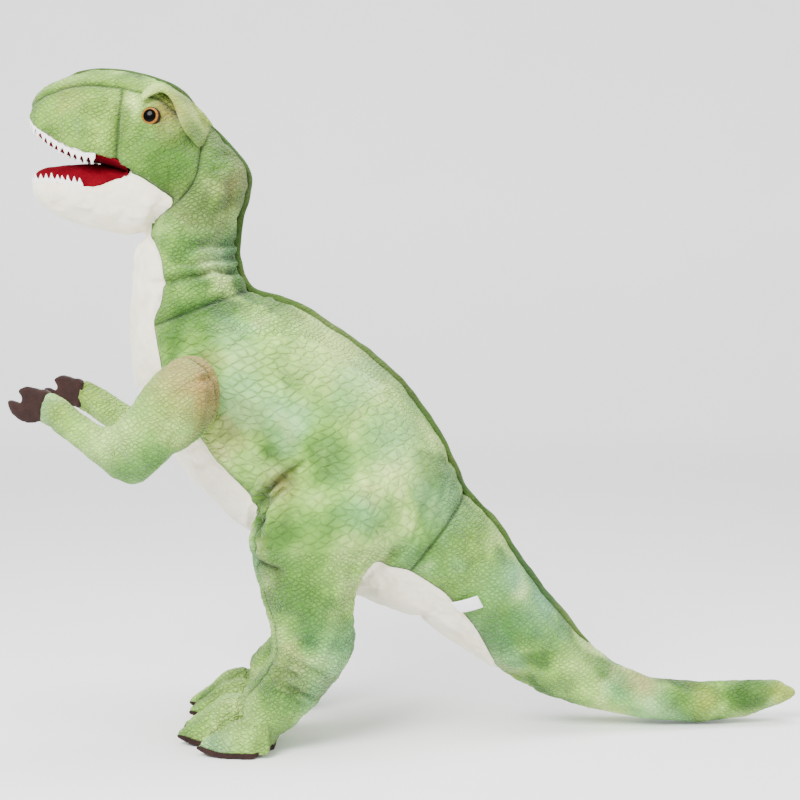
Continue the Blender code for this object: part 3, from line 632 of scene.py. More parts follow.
def body_skin():
    """One stuffed skin for head, neck, trunk, tail and legs, with its seam fields."""
    names = both(
        "neck_side", "torso_side", "tail_side", "snout_side", "cheek", "leg_outer", "leg_inner", "leg_stuffing",
        "foot_sole",
    )
    names += ["belly_panel", "chin_panel", "crown_panel", "head_stuffing", "jaw_stuffing", "neck_stuffing"]
    names += ["torso_stuffing", "tail_stuffing"]
    co, quads = voxel(*node_mesh(names), BODY_VOXEL)
    edges = edges_of(quads)
    d = distances(co, leg=both("leg_outer", "leg_inner"), trunk=both("torso_side", "tail_side") + ["belly_panel"])
    leg, trunk = d["leg"], d["trunk"]
    joint = np.exp(-(((leg - trunk) / 0.012) ** 2)) * (np.minimum(leg, trunk) < 0.02) * ramp(co[:, 2], 0.10, 0.16)
    foot = ramp(co[:, 2], 0.002, 0.012)
    co = smoothed(co, edges, 14, 0.25 + 0.75 * foot)
    outside = ramp(np.abs(co[:, 1]), 0.045, 0.075)
    co = smoothed(co, edges, 26, joint * outside * 0.9, shrink=True)
    d = distances(
        co,
        neck=both("neck_side"), torso=both("torso_side"), tail=both("tail_side"), belly=["belly_panel"],
        crown=["crown_panel"], snout=both("snout_side"), cheek=both("cheek"), chin=["chin_panel"],
        outer=both("leg_outer"), inner=both("leg_inner"),
    )
    fields = seam_fields(co, d)
    table = np.stack([fields[k] for k in sorted(fields)], 1)
    for _ in range(3):
        table = 0.5 * table + 0.5 * spread(table, edges)
    near = seam_distance(dict(zip(sorted(fields), table.T)), d)
    pin = np.clip(1.0 - (near - 0.002) / 0.010, 0.0, 1.0)
    pin = np.maximum(pin, 1.0 - ramp(co[:, 2], 0.004, 0.03))
    in_mouth = (d["snout"] < 0.05) * (d["chin"] < 0.05) * (co[:, 0] < -0.32)
    pin = np.maximum(pin, in_mouth * 0.9)
    co = inflated(co, quads, pin, cap=0.0045)
    leg_part = np.stack([d[key] for key in LEG_KEYS], 1)
    quads, (co, table, leg_part) = refined(quads, co, table, leg_part)
    co = smoothed(co, edges_of(quads), 2)
    return co, quads, dict(zip(sorted(fields), table.T)), leg_part


def seam_fields(co, d):
    """Numbers that are zero on a seam and grow away from it on either side, about in metres."""
    (tx, tz), (bx, bz) = HEAD_SEAM
    length = math.hypot(tx - bx, tz - bz)
    nx, nz = -(tz - bz) / length, (tx - bx) / length
    bow = HEAD_BOW * np.clip((np.abs(co[:, 1]) / 0.058) ** 2, 0, 1) * ramp(co[:, 2], 0.562, 0.622)
    head = (co[:, 0] - tx) * nx + (co[:, 2] - tz) * nz + bow
    head = np.where(co[:, 2] < 0.50, -0.2, head)
    chin = (np.minimum(d["cheek"], d["snout"]) - d["chin"]) / 2
    green = np.minimum.reduce([d["neck"], d["torso"], d["tail"], d["outer"], d["inner"]])
    belly = (green - d["belly"]) / 2
    throat = np.interp(co[:, 2], *zip(*THROAT_EDGE)) - co[:, 0]
    share = ramp(co[:, 2], 0.470, 0.500) * (co[:, 2] < 0.60)
    belly = belly + (throat - belly) * share
    white = np.maximum(np.minimum(head, chin), np.minimum(-head, belly))
    sole = np.where(co[:, 0] > -0.10, -FAR, SOLE_TOP - co[:, 2])
    return {
        "head": head,
        "chin": chin,
        "belly": belly,
        "white": white,
        "sole": sole,
        "collar": (d["neck"] - d["torso"]) / 2,
        "rump": (d["torso"] - d["tail"]) / 2,
        "crown": (np.minimum(d["snout"], d["cheek"]) - d["crown"]) / 2,
        "muzzle": (d["cheek"] - d["snout"]) / 2,
        "inseam": (d["outer"] - d["inner"]) / 2,
    }


def seam_distance(f, d):
    """Distance to the nearest seam of any kind, each one counted only where it is sewn."""
    head, green = f["head"] > 0, f["white"] < 0
    leg = (np.minimum(d["outer"], d["inner"]) < 0.009) & (np.minimum(d["torso"], d["tail"]) > 0.012)
    out = np.minimum(np.abs(f["white"]), np.abs(f["head"]))
    for key, sewn in (
        ("collar", ~head & green), ("rump", green), ("crown", head & green),
        ("muzzle", head & (f["crown"] < 0) & green), ("inseam", leg),
    ):
        out = np.minimum(out, np.where(sewn, np.abs(f[key]), FAR))
    return out


def cut_along(mesh, key, level=0.0, reach=0.006):
    """Cuts the faces near a seam where the named vertex value passes the level.

    Each point is lifted to a height that stands for its value, so that one level plane cuts them all.
    """
    bm = bmesh.new()
    bm.from_mesh(mesh)
    value, near = bm.verts.layers.float[key], bm.verts.layers.float["near"]
    home = bm.verts.layers.float_vector.new("home")
    for v in bm.verts:
        v[home] = v.co
        v.co.z = v[value] * 10
    low, high = level * 10 - 1e-4, level * 10 + 1e-4
    faces = []
    for f in bm.faces:
        heights = [v.co.z for v in f.verts]
        if min(heights) < high and max(heights) > low and min(v[near] for v in f.verts) < reach:
            faces.append(f)
    geom = faces + list({e for f in faces for e in f.edges}) + list({v for f in faces for v in f.verts})
    bmesh.ops.bisect_plane(bm, geom=geom, dist=2e-4, plane_co=(0, 0, level * 10), plane_no=(0, 0, 1))
    for v in bm.verts:
        v.co = v[home]
    bm.verts.layers.float_vector.remove(home)
    bm.to_mesh(mesh)
    bm.free()


def layer(mesh, key):
    values = np.empty(len(mesh.vertices), np.float32)
    mesh.attributes[key].data.foreach_get("value", values)
    return values.astype(float)


def set_layer(mesh, key, values):
    attribute = mesh.attributes.get(key) or mesh.attributes.new(key, "FLOAT", "POINT")
    attribute.data.foreach_set("value", np.asarray(values, np.float32))


def vertex_normals(mesh):
    out = np.empty(len(mesh.vertices) * 3, np.float32)
    mesh.vertices.foreach_get("normal", out)
    return out.reshape(-1, 3).astype(float)


def split_out(source, name, keys, test, material):
    """A new object from the faces of source whose mean vertex values pass the test."""
    mesh = source.data.copy()
    obj = bpy.data.objects.new(name, mesh)
    bpy.context.scene.collection.objects.link(obj)
    values = [layer(mesh, key) for key in keys]
    drop = {p.index for p in mesh.polygons if not test(*(v[list(p.vertices)].mean() for v in values))}
    bm = bmesh.new()
    bm.from_mesh(mesh)
    bmesh.ops.delete(bm, geom=[f for f in bm.faces if f.index in drop], context="FACES")
    bm.to_mesh(mesh)
    bm.free()
    mesh.materials.clear()
    dress(obj, material)
    return obj


def make_body():
    """The body, head, belly panel, jaw and soles. Returns trees of the body's and the head's surface."""
    co, quads, f, leg_part = body_skin()
    obj = add_object("body_work", co, quads)
    mesh = obj.data
    for key, values in f.items():
        set_layer(mesh, key, values)
    for key, values in zip(LEG_KEYS, leg_part.T):
        set_layer(mesh, "on_" + key, values)
    set_layer(mesh, "near", seam_distance(f, dict(zip(LEG_KEYS, leg_part.T))))
    for key in ("white", "head", "sole", "collar", "rump", "crown", "muzzle", "inseam"):
        cut_along(mesh, key)
    f = {key: layer(mesh, key) for key in f}
    set_layer(mesh, "near", seam_distance(f, {key: layer(mesh, "on_" + key) for key in LEG_KEYS}))
    cut_along(mesh, "near", GROOVE)
    f = {key: layer(mesh, key) for key in f}
    near = layer(mesh, "near")
    rest, normal = coords(mesh), vertex_normals(mesh)
    pucker = wobble(rest, 95.0, 2.0, 2) * 0.0014 * np.exp(-((near / 0.009) ** 2)) * ramp(near, 0.0012, 0.003)
    sink = 0.0026 * np.exp(-((near / 0.0019) ** 2)) + 0.0014 * np.exp(-((near / 0.010) ** 2))
    sink *= np.where(rest[:, 2] < 0.012, 0.25, 1.0)
    ridge = np.exp(-(((np.abs(rest[:, 1]) - 0.0042) / 0.0022) ** 2)) * ramp(normal[:, 2] + normal[:, 0], 0.0, 0.6)
    on_back = (rest[:, 0] > -0.40) & (rest[:, 0] < 0.20) & (rest[:, 2] > 0.08)
    sink += 0.0022 * ridge * on_back
    soft = wobble(rest, 22.0, 8.0, 3) * 0.0018 + wobble(rest, 60.0, 15.0, 2) * 0.0008
    soft *= ramp(rest[:, 2], 0.004, 0.03)
    folds = creased(rest, normal, CREASES)
    co = rest + normal * (soft + pucker - sink - folds)[:, None]
    co[:, 2] = np.maximum(co[:, 2], 0.0)
    mesh.vertices.foreach_set("co", co.ravel())
    tone = dyed(rest)
    along_back = np.exp(-((rest[:, 1] / 0.012) ** 2)) * on_back * ramp(normal[:, 2] + normal[:, 0], 0.0, 0.6)
    tone = tone * (1 - 0.55 * along_back)[:, None]
    # Painted shade in the grooves of the seams and in the creases.
    shadow = 0.25 * np.exp(-((near / 0.0045) ** 2)) + 0.55 * np.clip(folds / 0.0060, 0, 1)
    tone = tone * (1 - shadow)[:, None]
    flank = (f["head"] < -0.02) * ramp(rest[:, 2], 0.20, 0.25) * ramp(-rest[:, 0], -0.06, 0.0)
    plates = flank * ramp(np.abs(rest[:, 1]), 0.045, 0.080) * ramp(0.480 - rest[:, 2], 0.0, 0.05)
    emboss = np.where(f["head"] > 0, 0.75, 1.0) * (1 - 0.3 * ramp(rest[:, 0], 0.10, 0.25))
    colour(mesh, "dye_and_shade", tone)
    marks(mesh, plates, emboss, near)
    trunk = both("neck_side", "torso_side", "tail_side", "leg_outer", "leg_inner", "leg_stuffing")
    trunk += ["neck_stuffing", "torso_stuffing", "tail_stuffing"]
    skull = both("snout_side", "cheek", "eye_washer") + ["crown_panel", "head_stuffing"]
    trees = []

    def cut(white, head):
        return lambda w, s, h: (w >= 0) == white and s < 0 and (h >= 0) == head

    for name, test, material, slot, nodes, fill in (
        ("body_plush", cut(False, False), GREEN, "scaled_plush", trunk, 0.95),
        ("head_plush", cut(False, True), GREEN, "scaled_plush", skull, 0.95),
        ("belly_plush_panel", cut(True, False), CREAM, "belly_plush", ["belly_panel"], 0.95),
        ("jaw_plush", cut(True, True), CREAM, "belly_plush", ["chin_panel", "jaw_stuffing"], 0.95),
        ("foot_soles", lambda w, s, h: s >= 0, BROWN, "claw_felt", both("foot_sole"), None),
    ):
        piece = split_out(obj, name, ("white", "sole", "head"), test, material)
        settle(piece, slot, "body", *nodes, fill=fill)
        if material is GREEN:
            trees.append(tree_of(coords(piece.data), [list(p.vertices) for p in piece.data.polygons]))
    bpy.data.objects.remove(obj)
    return trees


def make_toe(name, side, sign):
    """A stuffed toe tucked into the front of the foot, green above and brown below."""
    points, faces = node_mesh([f"toe_{name}_{side}", f"toe_sole_{name}_{side}"])
    low, high = points.min(0), points.max(0)
    share = (high[0] - points[:, 0]) / (high[0] - low[0])
    middle = (low + high) / 2
    stretch, flat = {"outer": (1.46, 0.80), "middle": (1.0, 0.98), "inner": (1.0, 0.92)}[name]
    points[:, 0] = low[0] + (points[:, 0] - low[0]) * stretch
    points[:, 1] = middle[1] + (points[:, 1] - middle[1]) * (1 - 0.30 * share**2)
    points[:, 2] *= flat * (1 - 0.22 * share**2)
    if name == "outer":
        points[:, 1] += sign * 0.004 * (1 - share)
    low, high = points.min(0), points.max(0)
    middle = (low + high) / 2
    back = middle + (points - middle) * np.array((0.5, 0.90, 0.90))
    back[:, 0] += high[0] - back[:, 0].max() + 0.012
    back[:, 2] += 0.002
    co, quads = voxel_pair(points, back, faces, TOE_VOXEL)
    co = smoothed(co, edges_of(quads), 14)
    pin = np.maximum(ramp(co[:, 0], high[0] - 0.012, high[0]), 1 - ramp(co[:, 2], 0.003, 0.014))
    co = inflated(co, quads, pin, cap=0.003, slack=-0.04, frames=14)
    quads, (co,) = refined(quads, co)
    co = smoothed(co, edges_of(quads), 2)
    normal = normals_of(co, quads)
    share = (high[0] - co[:, 0]) / (high[0] - low[0])
    sole = SOLE_TOP + 0.0052 * ramp(share, 0.55, 1.0) - co[:, 2]
    sole = np.where(co[:, 0] > high[0] + 0.002, -FAR, sole)
    root = (co[:, 0] - high[0] + 0.001) / 0.003
    grooved = 0.0016 * np.exp(-((sole / 0.0022) ** 2)) + 0.0016 * np.exp(-(root**2))
    lift = wobble(co, 70.0, 3.0, 2) * 0.0008 * ramp(co[:, 2], 0.004, 0.015) - grooved
    co = co + normal * lift[:, None]
    co[:, 2] = np.maximum(co[:, 2], 0.0002)
    obj = add_object("toe_work", co, quads)
    mesh = obj.data
    set_layer(mesh, "sole", sole)
    set_layer(mesh, "near", np.zeros(len(co)))
    # Painted shade where the toe's root tucks into the foot.
    colour(mesh, "dye_and_shade", dyed(co, 0.7 * sign) * (1 - 0.3 * ramp(share, 0.10, -0.05))[:, None])
    marks(mesh, 0.0, 0.9, np.abs(sole))
    cut_along(mesh, "sole")
    above = split_out(obj, f"toe_plush_{name}_{side}", ("sole",), lambda s: s < 0, GREEN)
    below = split_out(obj, f"toe_sole_felt_{name}_{side}", ("sole",), lambda s: s >= 0, BROWN)
    bpy.data.objects.remove(obj)
    settle(above, "scaled_plush", "body", f"toe_{name}_{side}", fill=0.95)
    settle(below, "claw_felt", "body", f"toe_sole_{name}_{side}")


# ---------------------------------------------------------------- arms


def joint_named(name):
    return next(j for j in frame["joints"] if j["name"] == name)


# Gathers and creases of an arm, in the way of CREASES
ARM_CREASES = [
    ([(-326, 366), (-322, 345), (-312, 325)], 35, 50),
    ([(-338, 362), (-336, 345), (-330, 330)], 20, 40),
    ([(-300, 392), (-292, 372), (-278, 350)], 16, 60),
    ([(-250, 405), (-236, 408), (-222, 414)], 22, 35),
]


def make_arm(side, sign):
    """A stuffed sleeve, sewn to the flank round its root, and its hand."""
    joint = joint_named(f"{side}_shoulder")
    pivot = np.array(joint["pos_m"])
    inward = np.array((0.378, -sign * 0.909, 0.170))
    points, faces = node_mesh([f"arm_sleeve_{side}", f"arm_stuffing_{side}"])
    far = np.linalg.norm(points - pivot, axis=1)
    pushed = points + inward * (0.016 * (1 - ramp(far, 0.050, 0.080)))[:, None]
    co, quads = voxel_pair(points, pushed, faces, ARM_VOXEL)
    co = smoothed(co, edges_of(quads), 12)
    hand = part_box(f"hand_{side}")
    wrist = hand[1][0] - 0.006
    root = (co - pivot) @ -inward
    pin = np.maximum(1 - ramp(root, 0.002, 0.020), 1 - ramp(co[:, 0], wrist, wrist + 0.016))
    rest = co
    co = inflated(co, quads, pin, cap=0.0035, slack=-0.05)
    quads, (co, rest) = refined(quads, co, rest)
    co = smoothed(co, edges_of(quads), 2)
    normal = normals_of(co, quads)
    root = (co - pivot) @ -inward
    seam = np.exp(-((root - 0.006) ** 2) / 0.0035**2)
    under = np.abs(co[:, 1] - sign * 0.128)
    lift = wobble(rest, 26.0, 4.0, 3) * 0.0014 + wobble(rest, 75.0, 6.0, 2) * 0.0006
    lift += wobble(rest, 110.0, 1.0, 2) * 0.0012 * ramp(-np.abs(root - 0.006), -0.014, 0.0)
    stitch = np.exp(-((under / 0.0028) ** 2)) * ramp(-normal[:, 2], 0.2, 0.7)
    lift -= 0.0024 * seam + 0.0018 * stitch + creased(rest, normal, ARM_CREASES, 0.0012)
    co = co + normal * lift[:, None]
    obj = add_object(f"arm_plush_{side}", co, quads)
    tone = dyed(rest, 1.5 if sign > 0 else 0.0, ARM_PATCHES)
    # Painted shade in the grooves of the root seam and of the under seam.
    tone = tone * (1 - 0.25 * seam - 0.2 * stitch)[:, None]
    colour(obj.data, "dye_and_shade", tone)
    marks(obj.data, 0.0, 0.9, np.minimum(np.abs(root - 0.006), under + 0.01))
    dress(obj, GREEN)
    settle(obj, "scaled_plush", None, f"arm_sleeve_{side}", f"arm_stuffing_{side}", fill=0.9)
    start, end = pivot + inward * 0.006, pivot - inward * 0.034
    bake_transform(obj, "body", f"arm_{side}", start=tuple(start), end=tuple(end))
    make_hand(side, hand)


def make_hand(side, box):
    """A felt hand, tucked into the sleeve by a cuff of its own."""
    points, faces = node_mesh([f"hand_{side}"])
    centre = (np.array(box[0]) + np.array(box[1])) / 2
    cuff = centre + (points - centre) * np.array((0.42, 1.15, 0.92)) + np.array((0.0185, 0, -0.0015))
    co, quads = voxel_pair(points, cuff, faces, HAND_VOXEL)
    co = smoothed(co, edges_of(quads), 10)
    co[:, 1] = centre[1] + (co[:, 1] - centre[1]) * (1.0 + 0.35 * ramp(co[:, 0], box[0][0] + 0.012, box[1][0]))
    normal = normals_of(co, quads)
    rim = np.exp(-(((co[:, 1] - centre[1]) / 0.0016) ** 2)) * ramp(-np.abs(normal[:, 1]), -0.7, -0.2)
    co = co + normal * (wobble(co, 120.0, 3.0, 2) * 0.0006 - 0.0010 * rim)[:, None]
    obj = add_object(f"hand_felt_{side}", co, quads)
    dress(obj, BROWN)
    settle(obj, "claw_felt", f"arm_{side}", f"hand_{side}", fill=0.9)


# ---------------------------------------------------------------- the head's details


def sweep(name, sections, material):
    """A closed skin through sections that have the same number of points."""
    n, m = len(sections), len(sections[0])
    faces = []
    for i in range(n - 1):
        a, b = i * m, (i + 1) * m
        faces += [[a + k, b + k, b + (k + 1) % m, a + (k + 1) % m] for k in range(m)]
    faces += [list(range(m))[::-1], [(n - 1) * m + k for k in range(m)]]
    return closed_skin(name, [p for section in sections for p in section], faces, material)


def thickened(name, grid, thick, material, out):
    """A sheet of felt from a grid of points, with rounded edges."""
    grid = np.array(grid, float)
    n, m = grid.shape[:2]
    du, dv = np.gradient(grid, axis=0), np.gradient(grid, axis=1)
    normal = np.cross(du, dv)
    normal /= np.maximum(np.linalg.norm(normal, axis=2), 1e-9)[:, :, None]
    if (normal.reshape(-1, 3).mean(0) @ np.array(out)) < 0:
        normal = -normal
    u, v = np.linspace(0, 1, n)[:, None], np.linspace(0, 1, m)[None, :]
    edge = np.minimum(np.minimum(u, 1 - u) * n, np.minimum(v, 1 - v) * m) / 2.2
    body = np.sqrt(np.clip(1 - (1 - np.clip(edge, 0, 1)) ** 2, 0.02, 1))[:, :, None] * thick / 2
    top, low = grid + normal * body, grid - normal * body
    verts = list(top.reshape(-1, 3)) + list(low.reshape(-1, 3))
    k = n * m
    faces = []
    for i in range(n - 1):
        for j in range(m - 1):
            a = i * m + j
            faces += [[a, a + m, a + m + 1, a + 1], [k + a + 1, k + a + m + 1, k + a + m, k + a]]
    rim = [(i, 0) for i in range(n)] + [(n - 1, j) for j in range(1, m)]
    rim += [(i, m - 1) for i in range(n - 2, -1, -1)] + [(0, j) for j in range(m - 2, 0, -1)]
    rim = [i * m + j for i, j in rim]
    for a, b in zip(rim, rim[1:] + rim[:1]):
        faces.append([a, b, b + k, a + k])
    return closed_skin(name, verts, faces, material)


def make_mouth():
    """The red lining: one piece that domes out of the palate, folds at the corners and domes over the jaw."""
    halves = []
    steps, first, last = 34, 0.25, 4.75
    for lip, sign, low, high in ((UPPER_LIP, -1, 0.0085, 0.0025), (JAW_LIP, 1, 0.0135, 0.0250)):
        part = []
        for k in range(steps):
            s = first + (last - first) * k / (steps - 1)
            x, z, half = catmull(lip, s)
            bulge = low + (high - low) * float(ramp(s, 1.0, 3.8))
            lead = min(1.0, (s / 1.4) ** 0.7, ((4.95 - s) / 1.0) ** 0.8)
            row = []
            for u in np.linspace(-1, 1, 31):
                dome = (1 - abs(u) ** 2.6) ** 0.75
                ripple = 0.0007 * noise.noise((x * 70, u * 3, sign * 2.0))
                reach = half - 0.0022 - 0.0026 * float(ramp(s, 2.8, 3.8))
                tuck = 0.0034 + 0.0040 * float(ramp(s, 2.8, 4.0))
                height = -tuck + (bulge * lead + tuck) * dome + ripple * dome
                row.append((x + 0.0015, reach * u, z + sign * height))
            part.append(row)
        halves.append(part)
    upper, lower = halves
    a, b = np.array(upper[-1]), np.array(lower[-1])
    fold = []
    for t in np.linspace(0, 1, 9)[1:-1]:
        back = math.sin(math.pi * t)
        fold.append([tuple(p + (q - p) * t + np.array((0.006 * back, 0, 0))) for p, q in zip(a, b)])
    lining = thickened("mouth_lining", upper + fold + lower[::-1], 0.0016, RED, (-1, 0, 0))
    settle(lining, "mouth_felt", "body", "palate_lining", "jaw_lining", fill=0.8)


def make_teeth(name, lip, sign, count, length, last, node):
    """White felt teeth on a narrow felt band, tucked under the lip from corner to corner."""
    inset = 0.0034
    side = [catmull(lip, s) for s in np.linspace(last, 0.0, 60)]
    path = [
        (x + inset * max(0.0, 1 - k / 9), -(max(h - inset, 0.0)), z)
        for k, (x, z, h) in zip(range(59, -1, -1), side)
    ]
    path = path + [(x, -y, z) for x, y, z in reversed(path)]
    steps = 7
    points = evenly(path, count * steps + 1)
    tangent = np.gradient(points, axis=0)
    tangent /= np.linalg.norm(tangent, axis=1)[:, None]
    rows = []
    rng = np.random.default_rng(7 if sign < 0 else 11)
    size, lean = rng.uniform(0.82, 1.12, count + 1), rng.uniform(-0.16, 0.16, count + 1)
    for k, (point, along) in enumerate(zip(points, tangent)):
        tooth, share = divmod(k, steps)
        t = share / steps
        peak = 0.5 + lean[tooth]
        rise = t / peak if t < peak else (1 - t) / (1 - peak)
        drop = 0.0004 + (length * size[tooth]) * rise**1.6
        out = np.cross(along, (0, 0, 1.0))
        out /= np.linalg.norm(out)
        if out @ (point - np.array((-0.36, 0, point[2]))) < 0:
            out = -out
        splay = 0.0016 * rise
        thick = 0.0009 * (1 - 0.45 * rise)
        base = point + np.array((0, 0, -sign * 0.0060)) - out * 0.0008
        tip = point + np.array((0, 0, sign * drop)) + out * splay
        mid = (base + tip) / 2 + out * 0.0006
        front = [base - out * thick, mid - out * thick, tip - out * thick * 0.7]
        rows.append(front + [tip + out * thick * 0.7, mid + out * thick, base + out * thick])
    obj = sweep(name, rows, WHITE)
    softened(obj)
    settle(obj, "tooth_felt", "body", node)


def make_brow(side, sign, surfaces):
    """The hood of plush over the eye: sewn into the crown seam, standing off and falling to a point behind."""
    sewn = mm([(-307, 716.5), (-300, 729), (-285, 732.5), (-264, 722), (-246, 709), (-232, 690), (-240, 664)])
    free = mm([(-304.5, 712), (-296, 718.5), (-283, 722.5), (-272.5, 712.5), (-266, 696), (-257, 677), (-242.5, 661)])
    stand = mm([(2,), (8.5,), (12,), (13,), (13,), (10,), (3,)])
    grid = []
    for u in np.linspace(0, 1, 37):
        s = u * 6
        (ax, az), (bx, bz) = catmull(sewn, s), catmull(free, s)
        lift = catmull(stand, s)[0]
        row = []
        for v in np.linspace(0, 1, 15):
            x, z = ax + (bx - ax) * v, az + (bz - az) * v
            hits = [t.ray_cast(Vector((x, sign * 0.3, z)), Vector((0, -sign, 0)))[0] for t in surfaces]
            y = max([abs(h.y) for h in hits if h and h.y * sign > 0] or [0.030])
            y += 0.0008 + lift * math.sin(math.pi * 0.60 * v) + 0.0015 * v
            z += lift * 0.25 * math.sin(math.pi * v)
            row.append((x, sign * y, z))
        grid.append(row)
    arr = np.array(grid)
    for _ in range(3):
        inner = arr.copy()
        inner[1:-1, 1:-1] = (arr[:-2, 1:-1] + arr[2:, 1:-1] + arr[1:-1, :-2] + arr[1:-1, 2:]) / 4
        arr = inner
    obj = thickened(f"brow_plush_{side}", arr, 0.0042, GREEN, (0, sign, 0))
    softened(obj)
    co = coords(obj.data)
    co += (wobble(co, 90.0, 2.0, 2) * 0.0007)[:, None] * np.array((0, sign, 0))
    obj.data.vertices.foreach_set("co", co.ravel())
    tone = dyed(co)
    colour(obj.data, "dye_and_shade", tone + (as_fabric(PEACH[None, :]) - tone) * 0.10)
    marks(obj.data, 0.0, 0.5, 0.1)
    settle(obj, "scaled_plush", "body", f"brow_flap_{side}")


def make_eye(side, sign):
    """A domed safety eye, whose vertices know how far out and how far round they are."""
    node = NODES[f"eye_{side}"]
    axis = Vector((-0.20, sign * 0.97, 0.13)).normalized()
    apex = max((node.matrix_world @ v.co for v in node.data.vertices), key=lambda p: p.dot(axis))
    radius, rise = 0.0107, 0.0066
    base = apex - axis * rise
    pose = axis.to_track_quat("Z", "Y").to_matrix()
    turns = 56
    profile = [(math.sin(a), math.cos(a)) for a in np.linspace(0.0, math.pi / 2, 18)[1:]]
    verts, info = [Vector((0, 0, rise))], [(0.0, 0.0, 0.0)]
    rows = [(radius * r, rise * h, r) for r, h in profile]
    rows += [(radius * 1.03, -0.0004, 1.0), (radius * 0.98, -0.0030, 1.0)]
    for r, z, share in rows:
        for k in range(turns):
            a = 2 * math.pi * k / turns
            verts.append(Vector((r * math.cos(a), r * math.sin(a), z)))
            info.append((share, abs(k / turns * 2 - 1), 0.0))
    faces = [[0, 1 + k, 1 + (k + 1) % turns] for k in range(turns)]
    for i in range(len(rows) - 1):
        for k in range(turns):
            a, b = 1 + i * turns, 1 + (i + 1) * turns
            faces.append([a + k, b + k, b + (k + 1) % turns, a + (k + 1) % turns])
    faces.append([1 + (len(rows) - 1) * turns + k for k in range(turns)][::-1])
    obj = add_object(f"eye_gloss_{side}", [base + pose @ v for v in verts], faces)
    colour(obj.data, "dye_and_shade", np.array(info))
    dress(obj, EYE)
    settle(obj, "eye_plastic", "body", f"eye_{side}")


def make_ridge(surfaces):
    """The piped ridge down the back: a folded strip, higher on the back than on the head."""
    line = evenly(curve_through(BACK_LINE, 6), 260)
    tangent = np.gradient(line, axis=0)
    tangent /= np.linalg.norm(tangent, axis=1)[:, None]
    heights, above = [], 0.04
    for (x, z), (tx, tz) in zip(line, tangent):
        out = Vector((-tz, 0, tx))
        start = Vector((x, 0, z)) + out * above
        hits = [t.ray_cast(start, -out, 2 * above)[0] for t in surfaces]
        heights.append(max([(h - start).dot(out) + above for h in hits if h] or [0.0]))
    heights = np.array(heights)
    for _ in range(12):
        heights[1:-1] = (heights[:-2] + heights[1:-1] * 2 + heights[2:]) / 4
    sections = []
    ring = 14
    for k, ((x, z), (tx, tz)) in enumerate(zip(line, tangent)):
        out = Vector((-tz, 0, tx))
        foot = Vector((x, 0, z)) + out * heights[k]
        share = k / (len(line) - 1)
        rise = 0.0028 + 0.0036 * float(ramp(share, 0.20, 0.34))
        rise *= min(1.0, share / 0.015 + 0.1, (1 - share) / 0.05 + 0.1)
        rise *= 1.0 + 0.16 * noise.noise((x * 60, z * 60, 1.0))
        lean = 0.0012 * noise.noise((x * 24, z * 24, 7.0))
        section = []
        for j in range(ring):
            a = 2 * math.pi * j / ring
            h, w = math.cos(a), math.sin(a)
            tall = h * 0.5 + 0.5
            up = -0.0022 + (rise + 0.0022) * tall
            wide = 0.0030 * abs(w) ** 0.8 * math.copysign(1, w) * (1 - 0.25 * tall)
            section.append(foot + out * up + Vector((0, wide + lean * tall, 0)))
        sections.append(section)
    obj = sweep("back_ridge", sections, GREEN)
    dark = np.array((0.022, 0.045, 0.008))
    colour(obj.data, "dye_and_shade", dyed(coords(obj.data), 0.3) * 0.16 + dark)
    marks(obj.data, 0.0, 0.4, 0.1)
    settle(obj, "scaled_plush", "body", "spine_strip")


def make_label():
    """A folded loop of blank satin ribbon, standing on the CAD label's place."""
    joint = joint_named("label_swing")
    at, along = np.array(joint["pos_m"]), np.array(joint["axis"])
    along /= np.linalg.norm(along)
    points = node_mesh(["label"])[0]
    wide = ((points - at) @ along).max()
    rel = points - at - np.outer((points - at) @ along, along)
    reach = rel[np.linalg.norm(rel, axis=1).argmax()]
    out = np.cross(reach, along)
    out /= np.linalg.norm(out)
    out = out if out[1] < 0 else -out
    skew = ((points[np.linalg.norm(rel, axis=1) > 0.02] - at) @ along).min()
    run = reach + along * skew
    length = float(np.linalg.norm(run))
    square = along - run * (along @ run) / length**2
    square /= np.linalg.norm(square)
    grid = []
    for v in np.linspace(0, 1, 25):
        across = along + (square - along) * 0.8 * v
        across /= np.linalg.norm(across)
        row = []
        for u in np.linspace(0, 1, 11):
            sag = 0.0016 * math.sin(math.pi * v) + 0.0010 * v * math.sin(3.0 * u + 1.0)
            row.append(at + run * v + across * (wide - skew) * u + out * sag)
        grid.append(row)
    obj = thickened("side_label", grid, 0.0009, SATIN, tuple(out))
    settle(obj, "label_satin", "label_flap", "label")


# ---------------------------------------------------------------- the room


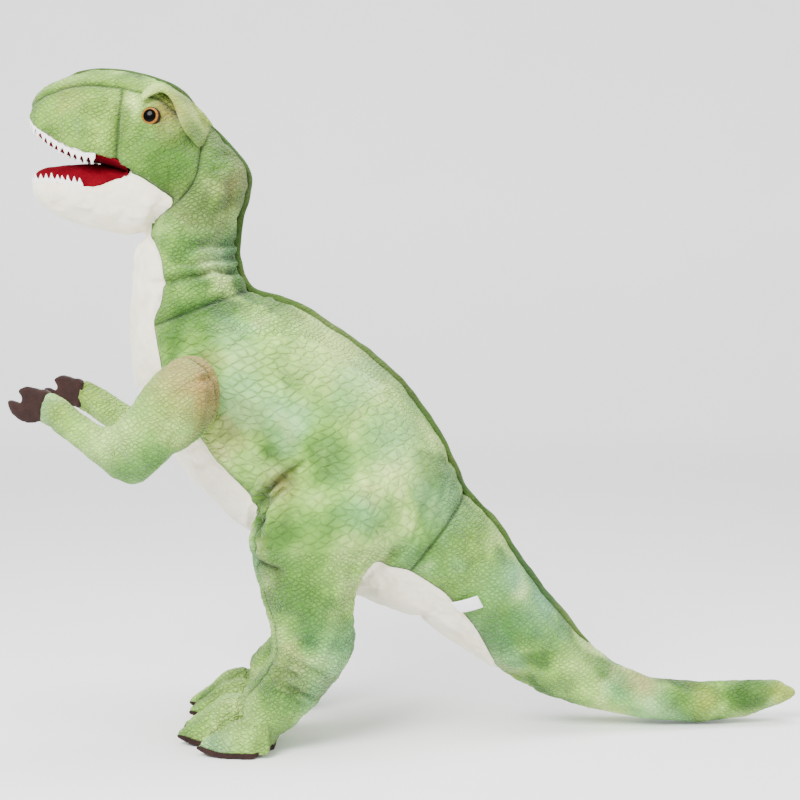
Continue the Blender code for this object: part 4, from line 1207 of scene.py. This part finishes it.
def make_stage():
    """A pale floor that curves up far behind the toy, its far part given a painted glow, the lamps and the camera."""
    s = Shader("pale_floor", 0.7)
    tone = s.mix(s.span(s.noise(s.place(), 3.0), 0.3, 0.7), (0.93, 0.93, 0.93), (0.96, 0.96, 0.96))
    s.link("Base Color", tone)
    back = s.node("SeparateXYZ", {"Vector": s.place()}).outputs["Y"]
    # Painted light: the far part of the floor and the backdrop glow, more and more towards the back.
    s.surface.inputs["Emission Color"].default_value = (1, 1, 1, 1)
    s.link("Emission Strength", s.span(back, 1.2, 4.2, 0.0, 0.46))
    rows = []
    front, depth, rise, bend = 5.0, 4.8, 3.6, 0.8
    for k in range(24):
        t = k / 23
        if t < 0.5:
            rows.append((-front + (front + depth - bend) * t * 2, 0.0))
        else:
            a = (t - 0.5) * math.pi
            rows.append((depth - bend + bend * math.sin(a), bend - bend * math.cos(a)))
    rows.append((depth, rise))
    verts = [(x, y, z - 0.0004) for y, z in rows for x in (-8.0, 8.0)]
    faces = [[2 * k, 2 * k + 1, 2 * k + 3, 2 * k + 2] for k in range(len(rows) - 1)]
    floor = add_object("studio_floor", verts, faces)
    dress(floor, s.material)
    scene = bpy.context.scene
    world = bpy.data.worlds.new("studio")
    scene.world = world
    world.use_nodes = True
    tint, strength = world.node_tree.nodes["Background"].inputs[:2]
    tint.default_value, strength.default_value = (0.97, 0.985, 1.0, 1), 0.95
    for name, place, aim, size, power in (
        ("key", (-1.3, -1.9, 2.1), (-0.05, 0, 0.35), 1.5, 175.0),
        ("fill", (1.7, -1.7, 1.1), (0.0, 0, 0.3), 1.8, 30.0),
        ("top", (0.1, 0.2, 2.6), (0.0, 0, 0.3), 1.8, 70.0),
    ):
        light = bpy.data.lights.new(name, "AREA")
        light.shape, light.size, light.energy = "DISK", size, power
        obj = bpy.data.objects.new(name, light)
        scene.collection.objects.link(obj)
        obj.location = place
        obj.rotation_euler = (Vector(aim) - Vector(place)).to_track_quat("-Z", "Y").to_euler()
    camera = bpy.data.cameras.new("photo_view")
    camera.lens, camera.sensor_width = 78.3, 36
    obj = bpy.data.objects.new("photo_view", camera)
    scene.collection.objects.link(obj)
    yaw, pitch = math.radians(2.0), math.radians(3.7)
    obj.location = (-0.0886, -1.9946, 0.5074)
    level = math.cos(pitch)
    look = Vector((math.sin(yaw) * level, math.cos(yaw) * level, -math.sin(pitch)))
    obj.rotation_euler = look.to_track_quat("-Z", "Y").to_euler()
    scene.camera = obj


make_stage()
surfaces = make_body()
for side, sign in SIDES:
    for toe in ("inner", "middle", "outer"):
        make_toe(toe, side, sign)
    make_arm(side, sign)
    make_brow(side, sign, surfaces)
    make_eye(side, sign)
make_mouth()
make_teeth("upper_teeth_felt", UPPER_LIP, -1, 28, 0.0100, 3.75, "upper_teeth")
make_teeth("lower_teeth_felt", JAW_LIP, 1, 24, 0.0088, 3.25, "lower_teeth")
make_ridge(surfaces)
make_label()
